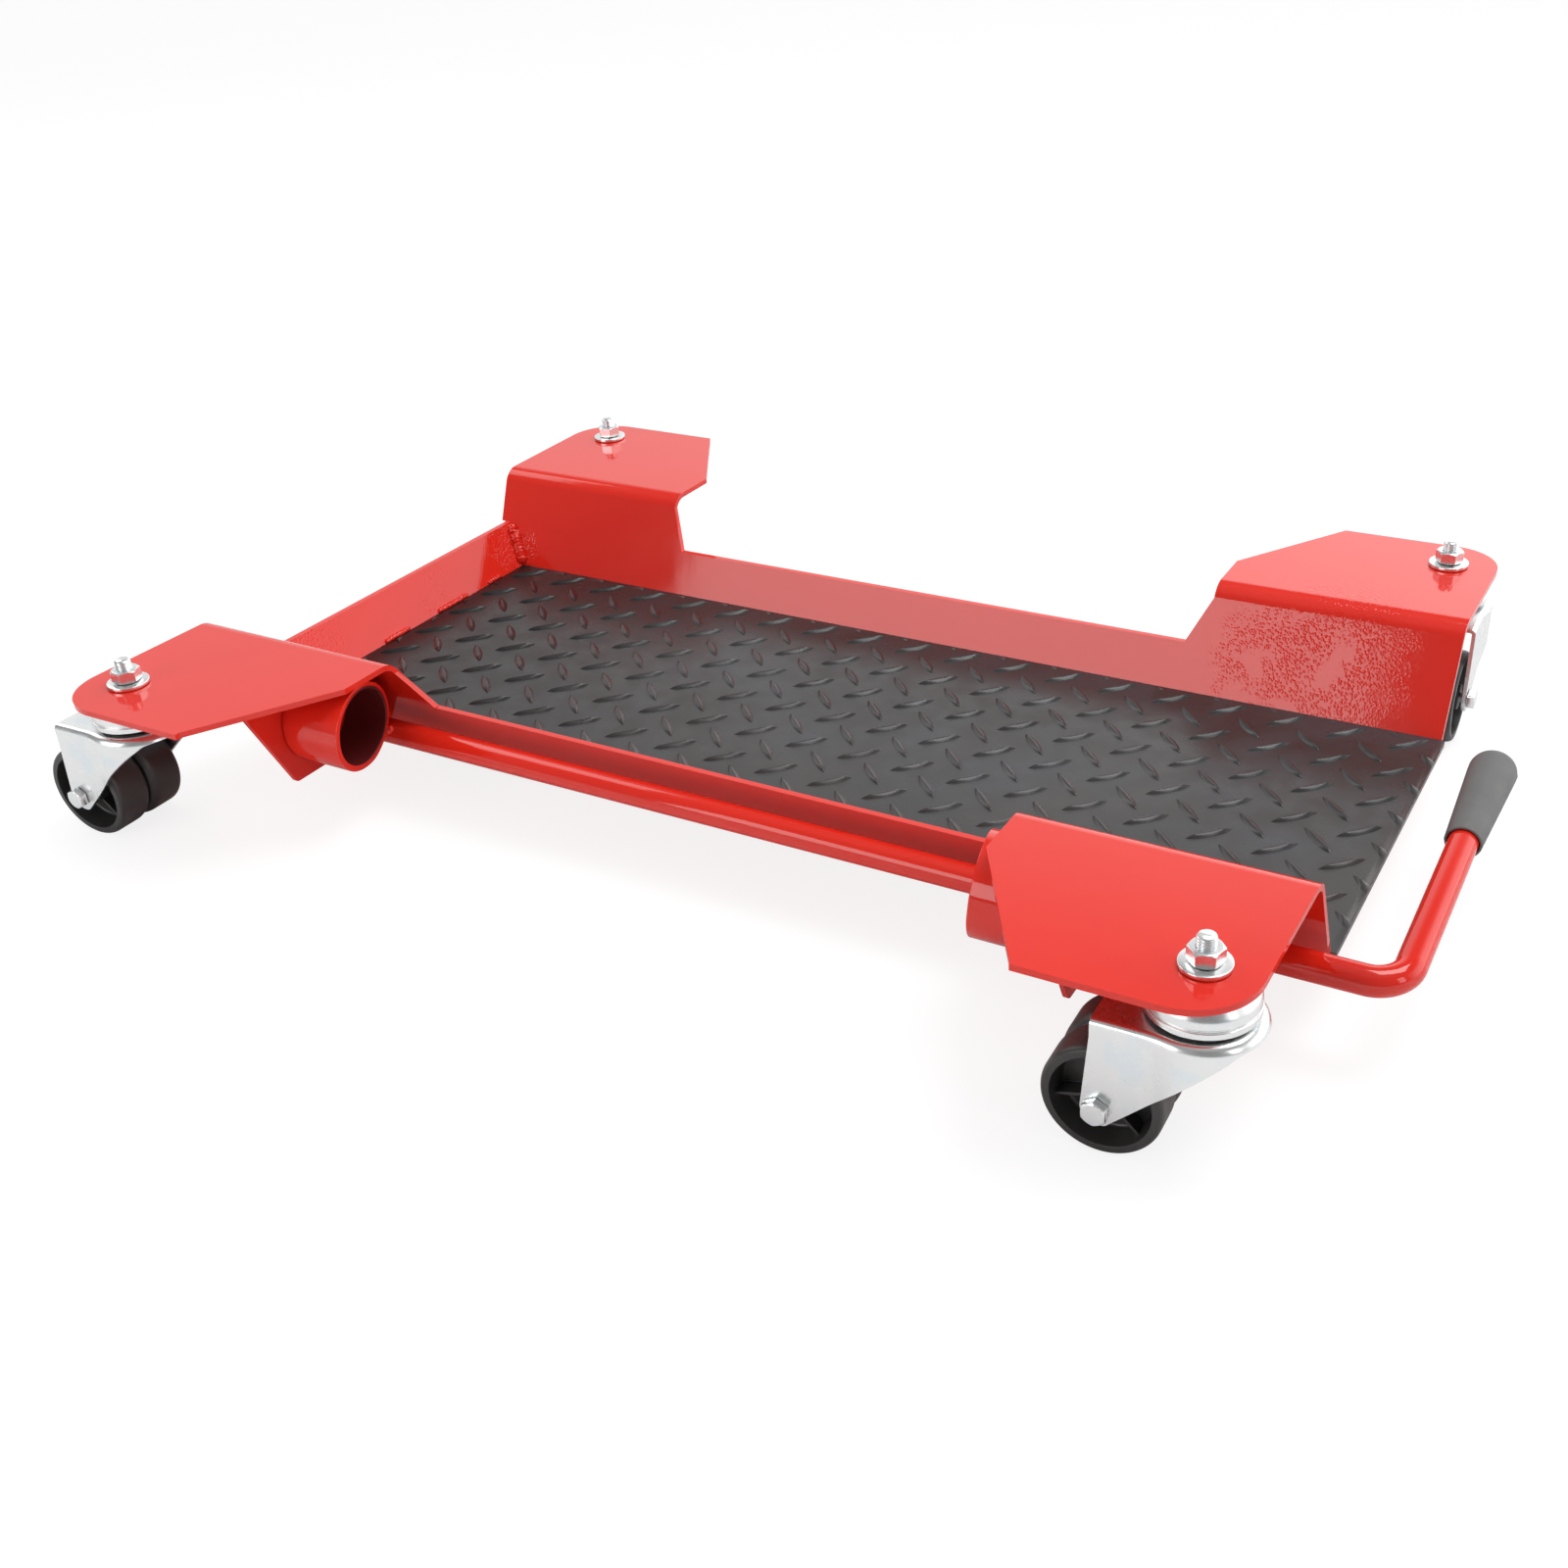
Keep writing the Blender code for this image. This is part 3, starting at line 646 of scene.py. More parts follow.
def end_wall():
    """The left end wall. Its foot lies inside the floor sheet, and its ends lie inside the side panels."""
    low = PAN_LOW.z + 0.3 * SHEET
    thick = SHEET / cos(atan2(WALL_FOOT_X - WALL_TOP_X, STRIP_TOP))
    shape = bmesh.new()
    rings = []
    for z in (low, STRIP_TOP):
        reach = panel_middle_y(z)
        inner = wall_inner_x(z)
        plan = ((inner, -reach), (inner, reach), (inner - thick, reach), (inner - thick, -reach))
        rings.append([shape.verts.new((x, y, z)) for x, y in plan])
    shape.faces.new(rings[0])
    shape.faces.new(rings[1])
    bridge(shape, rings[0], rings[1])
    return finished_mesh(shape, "end_wall")


def wing_plan():
    """The platform's outline from above, with its four rounded corners."""
    left_end = ((PANEL_END_X, PANEL_END_Y), (PANEL_END_X, -PANEL_END_Y))
    return rounded(WING_CORNERS[:2] + left_end + WING_CORNERS[2:], 18)


def slope_cut(side):
    """What the panel between two wings lacks, seen from the side."""
    (foot_l, inner_l, _), (foot_r, inner_r, _) = WING_STARTS[side]
    above = WING_TOP + 10 * MM
    return [
        (foot_l, STRIP_TOP),
        (foot_r, STRIP_TOP),
        (inner_r, WING_SLOPE_TOP),
        (inner_r, above),
        (inner_l, above),
        (inner_l, WING_SLOPE_TOP),
    ]


def diagonal_cut(side):
    """What the long edge between two wings lacks, as a plan."""
    (_, inner_l, end_l), (_, inner_r, end_r) = WING_STARTS[side]
    inside, over = 12 * MM, 10 * MM
    nose = 3 * MM
    plan = [
        (inner_l + inside, DIAGONAL_START_Y - inside),
        (inner_r - inside, DIAGONAL_START_Y - inside),
        (inner_r, DIAGONAL_START_Y),
        (end_r, DIAGONAL_END_Y),
        (end_r, REACH + over),
        (end_l, REACH + over),
        (end_l, DIAGONAL_END_Y),
        (inner_l, DIAGONAL_START_Y),
    ]
    return [(x, side * y) for x, y in rounded([(*p, nose) if i in (2, 7) else p for i, p in enumerate(plan)])]


def make_pan():
    """Floor, side panels and wings from one bent sheet, with the end wall welded in."""
    over = 10 * MM
    wing = WING_TOP - SHEET / 2
    floor = PAN_LOW.z + SHEET / 2
    half = [(REACH + over, wing), (panel_middle_y(wing), wing), (panel_middle_y(floor), floor)]
    corners = [(-y, z) for y, z in half] + half[::-1]
    sheet = bent_strip(corners, (WING_BEND, FLOOR_BEND, FLOOR_BEND, WING_BEND), SHEET, 14)
    above = WING_TOP + over
    land = 4.6 * MM
    below = floor - over
    end = [
        (wall_inner_x(below) - land, below),
        (wall_inner_x(STRIP_TOP) - land, STRIP_TOP),
        (PANEL_END_X + 1.2 * MM, STRIP_TOP),
        (PANEL_END_X, WING_SLOPE_TOP),
        (-HALF_LENGTH - over, WING_SLOPE_TOP),
        (-HALF_LENGTH - over, below),
    ]
    steps = [
        ("INTERSECT", prism(wing_plan(), "Z", below, above)),
        ("DIFFERENCE", prism(end, "Y", -REACH, REACH)),
        ("UNION", end_wall()),
    ]
    for side in WING_STARTS:
        low_y, high_y = sorted((0, side * (REACH + over)))
        steps.append(("DIFFERENCE", prism(slope_cut(side), "Y", low_y, high_y)))
        steps.append(("DIFFERENCE", prism(diagonal_cut(side), "Z", WING_TOP - over, above)))
    for corner in NUT_TURNS:
        x, y = JOINTS[corner + "_swivel"]["pos_m"][:2]
        hole = circle(STUD_HOLE, 24, (x, y))
        steps.append(("DIFFERENCE", prism(hole, "Z", WING_TOP - over, above)))
    blank = prism(sheet, "X", -HALF_LENGTH - over, HALF_LENGTH + over)
    return joined(blank, *steps, edge=SHEET_EDGE, edge_steps=3)


def lug_height(x, y):
    """How far the tread stands above the mat's face at (x, y)."""
    height = 0.0
    for family, turn in ((0, LUG_TURN), (1, -LUG_TURN)):
        across_x = (x - LUG_START.x) / LUG_PITCH_X - family / 2
        across_y = (y - LUG_START.y) / LUG_PITCH_Y - family / 2
        dx = (across_x - round(across_x)) * LUG_PITCH_X
        dy = (across_y - round(across_y)) * LUG_PITCH_Y
        along = (dx * cos(turn) + dy * sin(turn)) / LUG_HALF_LENGTH
        room = 1.0 - along**2
        if room <= 0:
            continue
        across = abs(dy * cos(turn) - dx * sin(turn)) / LUG_HALF_WIDTH / room
        if across < 1:
            height = max(height, LUG_HEIGHT * (1.0 - across**1.5) * min(1.0, 1.6 * room))
    from_edge = min(x - MAT_LOW.x, MAT_HIGH.x - x, MAT_HIGH.y - abs(y))
    return height * min(1.0, max(0.0, from_edge / MAT_BORDER))


def lug_lines():
    """Every lug's outline and inner contours, as loops of points on the mat's face."""
    levels = ((1.0, 1.0), (0.72, 0.94), (0.42, 0.88), (0.16, 0.82))
    points = 9
    margin = LUG_HALF_LENGTH
    loops = []
    for family, turn in ((0, LUG_TURN), (1, -LUG_TURN)):
        for i in range(-16, 8):
            for k in range(-5, 6):
                centre = LUG_START + Vector(((i + family / 2) * LUG_PITCH_X, (k + family / 2) * LUG_PITCH_Y))
                in_x = MAT_LOW.x - margin <= centre.x <= MAT_HIGH.x + margin
                if not in_x or abs(centre.y) > MAT_HIGH.y + margin:
                    continue
                turned_by = Matrix.Rotation(turn, 2)
                for width, length in levels:
                    along = [length * (2 * j / points - 1) for j in range(points + 1)]
                    upper = [(t * LUG_HALF_LENGTH, width * LUG_HALF_WIDTH * (1 - t * t)) for t in along]
                    lower = [(a, -b) for a, b in upper[::-1]]
                    if length == 1.0:
                        lower = lower[1:-1]
                    loops.append([centre + turned_by @ Vector(p) for p in upper + lower])
    return loops


def make_mat():
    """The mat as one closed sheet, whose top face rises into the tread lugs and whose sides lean."""
    left, right, half = MAT_LOW.x, MAT_HIGH.x, MAT_HIGH.y
    loops = []
    for inset in (0.0, MAT_BORDER):
        low_x, high_x, y = left + inset, right - inset, half - inset
        loops.append([Vector(p) for p in ((low_x, -y), (high_x, -y), (high_x, y), (low_x, y))])
    points, edges = [], []
    for loop in loops + lug_lines():
        first = len(points)
        points += loop
        edges += [(first + i, first + (i + 1) % len(loop)) for i in range(len(loop))]
    flat, _, faces, _, _, _ = delaunay_2d_cdt(points, edges, [], 0, 1e-7)
    shape = bmesh.new()
    tops = [shape.verts.new((p.x, p.y, MAT_HIGH.z + lug_height(p.x, p.y))) for p in flat]
    for face in faces:
        middle = sum((flat[i] for i in face), Vector((0.0, 0.0))) / len(face)
        if left < middle.x < right and abs(middle.y) < half:
            shape.faces.new([tops[i] for i in face])
    for vert in [v for v in shape.verts if not v.link_faces]:
        shape.verts.remove(vert)
    rim = [e for e in shape.edges if len(e.link_faces) == 1]
    skirt = bmesh.ops.extrude_edge_only(shape, edges=rim)["geom"]
    foot_half = panel_inner_y(-MAT_THICK) - (panel_inner_y(0.0) - half)
    foot_left = left + wall_inner_x(-MAT_THICK) - wall_inner_x(0.0)
    for vert in (g for g in skirt if isinstance(g, bmesh.types.BMVert)):
        share = (vert.co.x - left) / (right - left)
        vert.co = (foot_left + share * (right - foot_left), vert.co.y * foot_half / half, MAT_LOW.z)
    foot = [e for e in shape.edges if len(e.link_faces) == 1]
    bmesh.ops.holes_fill(shape, edges=foot, sides=0)
    return finished_mesh(shape, "mat")


def make_gusset(side):
    """A plate under the wing that the brake shaft turns in. side is -1 left, 1 right."""
    top = GUSSET_HIGH.z
    foot = GUSSET_LOW.z
    clear = GAP / cos(PANEL_LEAN)
    notch = WING_TOP - WING_BEND
    tip_y = -173.5 * MM
    outline = rounded(
        [
            (GUSSET_LOW.y, top),
            (tip_y, foot, 3.0 * MM),
            (-panel_outer_y(foot) - clear, foot),
            (-panel_outer_y(notch) - clear, notch),
            (-panel_outer_y(notch) - WING_BEND, top),
        ]
    )
    low, high = sorted((side * GUSSET_LOW.x, side * GUSSET_HIGH.x))
    hole = circle(GUSSET_HOLE, 36, (SHAFT_AXIS.y, SHAFT_AXIS.z))
    drill = prism(hole, "X", low - SHEET, high + SHEET)
    return joined(prism(outline, "X", low, high), ("DIFFERENCE", drill), edge=0.4 * MM)


def wall_welds():
    """Beads down both corners of the end wall, and short ones along its foot."""
    high = STRIP_TOP - 1.0 * MM
    runs = []
    for side in (-1, 1):
        start = (wall_inner_x(0.0) + 0.4 * MM, side * (panel_inner_y(0.0) - 0.6 * MM), 0.6 * MM)
        end = (wall_inner_x(high) + 0.4 * MM, side * (panel_inner_y(high) - 0.6 * MM), high)
        runs.append((start, end, 3.9 * MM, 3.0 + side))
    foot = wall_inner_x(0.8 * MM) + 0.2 * MM
    for seed, (low, up) in enumerate(((-88, -62), (-30, -8), (18, 46), (66, 80))):
        runs.append(((foot, low * MM, 0.9 * MM), (foot, up * MM, 0.9 * MM), 1.5 * MM, seed))
    return beads(*runs)


def gusset_welds(side):
    """Beads where a gusset meets the panel and the wing, on its outer side."""
    x = side * (GUSSET_HIGH.x + 0.6 * MM)
    low, high = GUSSET_LOW.z + 5 * MM, GUSSET_HIGH.z - 14 * MM
    panel_run = [(x, -panel_outer_y(z) - 0.9 * MM, z) for z in (low, high)]
    wing_run = [(x, y, GUSSET_HIGH.z - 0.6 * MM) for y in (-150 * MM, -180 * MM)]
    return beads((*panel_run, 1.9 * MM, 5.0 + side), (*wing_run, 1.8 * MM, 9.0 + side))


def build_platform():
    paint = "painted_steel"
    piece("bent_pan", make_pan(), paint, "frame", "pan")
    piece("tread_mat", make_mat(), "rubber_mat", "frame", "rubber_mat", smooth=28)
    piece("wall_welds", wall_welds(), paint, "frame", smooth=60)
    for side, name in ((-1, "left"), (1, "right")):
        piece(name + "_gusset_plate", make_gusset(side), paint, "frame", name + "_gusset")
        piece(name + "_gusset_welds", gusset_welds(side), paint, "frame", smooth=60)


# Brake


def make_bar():
    """The shaft, and the lever that it is bent into at its right end, with a crease inside the bend."""
    along = Vector((1, 0, 0))
    up_lever = Vector((0, cos(LEVER_TILT), sin(LEVER_TILT)))
    corner = Vector((LEVER_X, SHAFT_AXIS.y, SHAFT_AXIS.z))
    centre = corner - along * LEVER_BEND + up_lever * LEVER_BEND
    left = Vector((SHAFT_LOW.x, SHAFT_AXIS.y, SHAFT_AXIS.z))
    path, radii = [], []
    rounding = 1.0 * MM
    for k in range(4):
        angle = k / 3 * pi / 2
        path.append(left + along * rounding * (1 - cos(angle)))
        radii.append(SHAFT_RADIUS - rounding * (1 - sin(angle)))
    bend_start = len(path)
    bend_steps = 28
    for i in range(bend_steps + 1):
        angle = i / bend_steps * pi / 2
        path.append(centre + LEVER_BEND * (sin(angle) * along - cos(angle) * up_lever))
        radii.append(SHAFT_RADIUS)
    path.append(corner + up_lever * LEVER_LENGTH)
    radii.append(SHAFT_RADIUS)
    steps = 40
    mesh = swept(path, radii, steps, along.cross(up_lever))
    for i in range(bend_steps + 1):
        crease = exp(-(((i - 5) / 1.6) ** 2)) + 0.6 * exp(-(((i - 10) / 1.4) ** 2))
        for k in range(steps):
            vertex = mesh.vertices[(bend_start + i) * steps + k]
            inward = (centre - path[bend_start + i]).normalized()
            spoke = (vertex.co - path[bend_start + i]).normalized()
            vertex.co -= spoke * 0.7 * MM * crease * max(0.0, spoke.dot(inward)) ** 6
    return mesh


def make_grip():
    """A tapered grip with a domed end, a blind bore and two faint mould lines, standing on Z."""
    bore = SHAFT_RADIUS + GAP
    depth = LEVER_LENGTH - GRIP_START + GAP
    dome = 8.0 * MM
    profile = [(bore, 0.6 * MM), (bore + 0.5 * MM, 0)]
    profile += arc((GRIP_NEAR_RADIUS - 0.6 * MM, 0.6 * MM), 0.6 * MM, -pi / 2, 0, 4)
    for share in (0.2, 0.4, 0.6, 0.8):
        wide = GRIP_NEAR_RADIUS + (GRIP_FAR_RADIUS - GRIP_NEAR_RADIUS) * share
        profile.append((wide, share * (GRIP_LENGTH - dome)))
    profile += arc((GRIP_FAR_RADIUS - dome, GRIP_LENGTH - dome), dome, 0, pi / 2, 10)
    profile += [(0, GRIP_LENGTH), (0, depth), (bore, depth)]
    mesh = turned(profile, 96)
    for vertex in mesh.vertices:
        radius = vertex.co.xy.length
        if radius > GRIP_NEAR_RADIUS - 0.5 * MM:
            off_line = abs(vertex.co.y)
            vertex.co.xy *= 1 + 0.22 * MM * exp(-((off_line / (0.5 * MM)) ** 2)) / radius
    return mesh


def tube_centre(angle):
    """Where a tube's axis crosses the plane x = 0."""
    reach = SHAFT_RADIUS + GAP + TUBE_RADIUS
    return SHAFT_AXIS + reach * Vector((0, cos(angle), sin(angle)))


def slanted(y, z):
    """How far a tube's cut end stands towards +X at (y, z) from its axis."""
    return (y * cos(TUBE_SLANT_TOWARDS) + z * sin(TUBE_SLANT_TOWARDS)) * tan(TUBE_SLANT)


def make_tube(outer_x, angle):
    """A short tube welded along the shaft. Its outer end is square, and its inner end is cut slantwise."""
    centre = tube_centre(angle)
    inwards = -copysign(1, outer_x)
    bore = TUBE_RADIUS - TUBE_WALL
    rings = 6
    outer = [(TUBE_RADIUS, TUBE_LENGTH * i / rings) for i in range(rings + 1)]
    inner = [(bore, TUBE_LENGTH * i / rings) for i in range(rings + 1)]
    mesh = turned(outer + inner[::-1], 64)
    for vertex in mesh.vertices:
        y, z, x = vertex.co
        share = x / TUBE_LENGTH
        wave = 0.35 * MM * noise.noise(Vector((y, z, inwards)) * 90.0)
        cut = (slanted(y, z) + wave) * share
        vertex.co = (outer_x + inwards * x + cut, centre.y + y, centre.z + z)
    if inwards < 0:
        mesh.flip_normals()
    return joined(mesh, edge=0.5 * MM)


def tube_welds(outer_x, angle):
    """Two beads along the line where a tube touches the shaft, and a blob at its inner end."""
    to_tube = Vector((0, cos(angle), sin(angle)))
    across = Vector((0, -sin(angle), cos(angle)))
    inwards = -copysign(1, outer_x)
    at_shaft = -TUBE_RADIUS * to_tube
    inner_x = outer_x + inwards * TUBE_LENGTH + slanted(at_shaft.y, at_shaft.z)
    runs = []
    for i, way in enumerate((-1, 1)):
        line = SHAFT_AXIS + to_tube * 5.9 * MM + across * way * 3.4 * MM
        start = Vector((inner_x - inwards * 3 * MM, line.y, line.z))
        end = Vector((outer_x + inwards * 2.5 * MM, line.y, line.z))
        runs.append((start, end, 1.7 * MM, 11.0 - inwards + i))
    blob = SHAFT_AXIS + to_tube * 7.0 * MM
    start = Vector((inner_x + inwards * 3.5 * MM, blob.y, blob.z)) - across * 2 * MM
    end = Vector((inner_x - inwards * 4.5 * MM, blob.y, blob.z)) + across * 2 * MM
    runs.append((start, end, 2.3 * MM, 17.0 - inwards))
    return beads(*runs)


def build_brake():
    paint = "painted_steel"
    piece("lever_bar", make_bar(), paint, "brake", "brake_shaft", smooth=40)
    for name, tube in TUBES.items():
        piece(name + "_brake_foot", make_tube(*tube), paint, "brake", name + "_brake_tube")
        piece(name + "_tube_welds", tube_welds(*tube), paint, "brake", smooth=60)
    start = Vector((LEVER_X, GRIP_START * cos(LEVER_TILT), GRIP_START * sin(LEVER_TILT)))
    start += Vector((0, SHAFT_AXIS.y, SHAFT_AXIS.z))
    at = Matrix.Translation(start) @ Matrix.Rotation(LEVER_TILT - pi / 2, 4, "X")
    piece("tapered_grip", make_grip(), "grip", "brake", "lever_grip", at=at, smooth=50)


# Casters


def heights(node):
    """The lowest and highest z of a CAD node."""
    low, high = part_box(node)
    return low.z, high.z


def chamfered_hexagon(flats, low, high, bore, both):
    """A hexagon with its corners turned off at the top, or at both ends, and a bore if that isn't 0."""
    corner = flats / sqrt(3)
    rim = flats * 0.475
    drop = (corner - rim) * tan(radians(30))
    profile = [(bore, low), (rim, low), (corner, low + drop)] if both else [(bore, low), (corner, low)]
    profile += [(corner, high - drop), (rim, high), (bore, high)]
    if bore:
        lead = 0.4 * MM
        profile[-1:] = [(bore + lead, high), (bore, high - lead)]
    sides = prism(circle(corner, 6), "Z", low - flats, high + flats)
    return joined(turned(profile, 72), ("INTERSECT", sides), edge=0.14 * MM)


def make_stud():
    """The bolt that holds a caster: a hexagon head inside the fork, and a threaded shank above."""
    low, high = heights("fr_stud")
    head_top = FORK_TOP - FORK_SHEET - GAP
    head = chamfered_hexagon(NUT_FLATS, low, head_top, 0.0, False)
    rod = threaded(STUD_RADIUS, STUD_PITCH, head_top - 1 * MM, high, 0.7 * MM)
    return joined(head, ("UNION", rod))


def make_washer():
    low, high = heights("fr_washer")
    edge = 0.35 * MM
    hole, rim = STUD_HOLE, WASHER_RADIUS
    profile = [(hole, low), (rim, low, edge), (rim, high, edge), (hole, high, edge)]
    return turned(rounded(profile, 3), 72)


def make_cup():
    """The fixed half of the swivel head, a pressed and turned cup under the wing."""
    low, high = heights("fr_swivel_cup")
    r = CUP_RADIUS
    profile = [
        (STUD_HOLE, low),
        (r, low, 0.5 * MM),
        (r, low + 2.9 * MM, 0.4 * MM),
        (r - 0.9 * MM, low + 3.2 * MM, 0.2 * MM),
        (r - 0.9 * MM, low + 3.9 * MM, 0.2 * MM),
        (r - 0.3 * MM, low + 4.4 * MM, 0.4 * MM),
        (r - 0.6 * MM, high - 6.5 * MM, 4.0 * MM),
        (r - 4.6 * MM, high - 1.2 * MM, 1.2 * MM),
        (r - 6.5 * MM, high),
        (STUD_HOLE, high),
    ]
    return turned(rounded(profile, 5), 96)


def make_cage():
    """The ball cage between cup and fork, with a rounded rim."""
    low, high = heights("fr_ball_cage")
    rim = CUP_RADIUS - 3 * MM
    hole = STUD_HOLE + 2 * MM
    edge = 0.5 * MM
    profile = [(hole, low), (rim, low, edge), (rim, high, edge), (hole, high)]
    return turned(rounded(profile, 4), 72)


def fork_plan(insets):
    """The fork from above, where straight sides swell into a round head. Each point has its own inset."""
    count = len(insets)
    last = radians(152)
    blend = 1.2 * MM
    plan = []
    for i, inset in enumerate(insets):
        angle = last * (2 * i / (count - 1) - 1)
        head = FORK_HEAD_RADIUS - inset
        straight = (FORK_HALF_WIDTH - inset) / max(0.2, abs(sin(angle))) if abs(angle) > pi / 2 else 0.0
        reach = (head + straight + sqrt((head - straight) ** 2 + blend**2)) / 2
        plan.append((reach * cos(angle), reach * sin(angle)))
    return plan


def fork_block(inset, bottom, top):
    """A solid block to the fork's plan. Its top edge is rounded, more at the head than at the sides."""
    count, arc_steps = 61, 7
    bends = []
    for x, _ in fork_plan([inset] * count):
        share = min(1.0, max(0.0, (x + 16 * MM) / (36 * MM)))
        bends.append(FORK_BEND + (FORK_HEAD_BEND - FORK_BEND) * share - inset)
    shape = bmesh.new()
    rings = [[shape.verts.new((x, y, bottom)) for x, y in fork_plan([inset] * count)]]
    for k in range(arc_steps + 1):
        angle = k / arc_steps * pi / 2
        plan = fork_plan([inset + bend * (1 - cos(angle)) for bend in bends])
        ring = [(x, y, top - bend * (1 - sin(angle))) for (x, y), bend in zip(plan, bends)]
        rings.append([shape.verts.new(p) for p in ring])
    skin(shape, rings)
    return finished_mesh(shape, "fork_block")


def fork_side():
    """The fork from the side: cheeks that narrow to the axle, and a shallow rim round the head."""
    boss = 7.8 * MM
    over = 10 * MM
    back = -36.0 * MM
    rim = FORK_TOP - 4.0 * MM
    outline = [(back, FORK_TOP + over), (back, FORK_TOP - 8 * MM)]
    outline += arc((-TRAIL + 1 * MM, AXLE_Z), boss, pi, pi * 1.62, 14)
    lower = [
        (-22.6 * MM, -9.2 * MM),
        (-16.0 * MM, -2.8 * MM),
        (-1.0 * MM, 12.0 * MM),
        (9.0 * MM, 20.9 * MM),
        (16.0 * MM, 26.6 * MM),
        (21.5 * MM, rim - 0.4 * MM),
        (FORK_HEAD_RADIUS + over, rim),
    ]
    return outline + through(lower, 6) + [(FORK_HEAD_RADIUS + over, FORK_TOP + over)]


def make_fork():
    """A channel pressed from one sheet, open below and behind."""
    deep = AXLE_Z - 20 * MM
    reach = FORK_HEAD_RADIUS + 5 * MM
    return joined(
        fork_block(0.0, deep, FORK_TOP),
        ("DIFFERENCE", fork_block(FORK_SHEET, deep - 5 * MM, FORK_TOP - FORK_SHEET)),
        ("INTERSECT", prism(fork_side(), "Y", -reach, reach)),
        ("DIFFERENCE", prism(circle(AXLE_HOLE, 28, (-TRAIL, AXLE_Z)), "Y", -reach, reach)),
        ("DIFFERENCE", prism(circle(STUD_HOLE, 28), "Z", deep, FORK_TOP + reach)),
        edge=0.28 * MM,
    )


def make_axle():
    """The axle bolt along Z, with its head at the low end and its thread at the high end."""
    face = FORK_HALF_WIDTH + GAP
    tall = 4.0 * MM
    head = chamfered_hexagon(AXLE_FLATS, face, face + tall, 0.0, False)
    head.transform(Matrix.Rotation(pi, 4, "X") @ Matrix.Rotation(pi / 6, 4, "Z"))
    tip = face + 6.2 * MM
    rod = threaded(AXLE_RADIUS, AXLE_PITCH, -face - 1 * MM, tip, 0.8 * MM)
    return joined(head, ("UNION", rod))


def make_axle_nut():
    """A locking nut, standing on Z = 0, with a round collar above its hexagon."""
    hexagon_top, top = 3.9 * MM, 5.0 * MM
    nut = chamfered_hexagon(AXLE_FLATS, 0.0, hexagon_top, AXLE_HOLE, True)
    rim = 4.3 * MM
    collar = [
        (AXLE_HOLE, hexagon_top - 1 * MM),
        (rim, hexagon_top - 1 * MM),
        (rim, top, 0.7 * MM),
        (AXLE_HOLE, top, 0.2 * MM),
    ]
    return joined(nut, ("UNION", turned(rounded(collar, 4), 48)))


def make_wheel():
    """One wheel of a pair, turned about Z, with its plain side at Z = 0 and its ribbed dish up."""
    width = WHEEL_PAIR_HALF_WIDTH - WHEEL_GAP
    rim = 21.1 * MM
    web = 8.5 * MM
    hub = 7.5 * MM
    shoulder = [(WHEEL_RADIUS - 3.2 * MM * (1 - sin(a)), 5.6 * MM * (1 - cos(a))) for a in quarter(8)]
    outer = [(WHEEL_RADIUS - 1.9 * MM * (1 - cos(a)), width - 3.0 * MM * (1 - sin(a))) for a in quarter(8)]
    profile = [(AXLE_HOLE, 0.0), (WHEEL_RADIUS - 6 * MM, 0.0)] + shoulder + outer
    dish = rounded(
        [
            (WHEEL_RADIUS - 3 * MM, width),
            (rim, width, 0.3 * MM),
            (rim - 1.3 * MM, web, 1.6 * MM),
            (hub, web, 1.2 * MM),
            (hub - 0.5 * MM, width - 0.6 * MM, 0.4 * MM),
            (AXLE_HOLE, width - 0.6 * MM),
        ],
        5,
    )
    body = turned(profile + dish[1:], 96)
    rib_top = width - 4.4 * MM
    start, half = hub - 1 * MM, 0.7 * MM
    rib_plan = [(start, -half), (rim, -half), (rim, half), (start, half)]
    steps = []
    for i in range(RIBS):
        rib = prism(rib_plan, "Z", web - 1 * MM, rib_top)
        rib.transform(Matrix.Rotation(2 * pi * i / RIBS, 4, "Z"))
        steps.append(("UNION", rib))
    return joined(body, *steps, edge=0.25 * MM)


def quarter(steps):
    """Angles from 0 to a quarter turn."""
    return [i / steps * pi / 2 for i in range(steps + 1)]


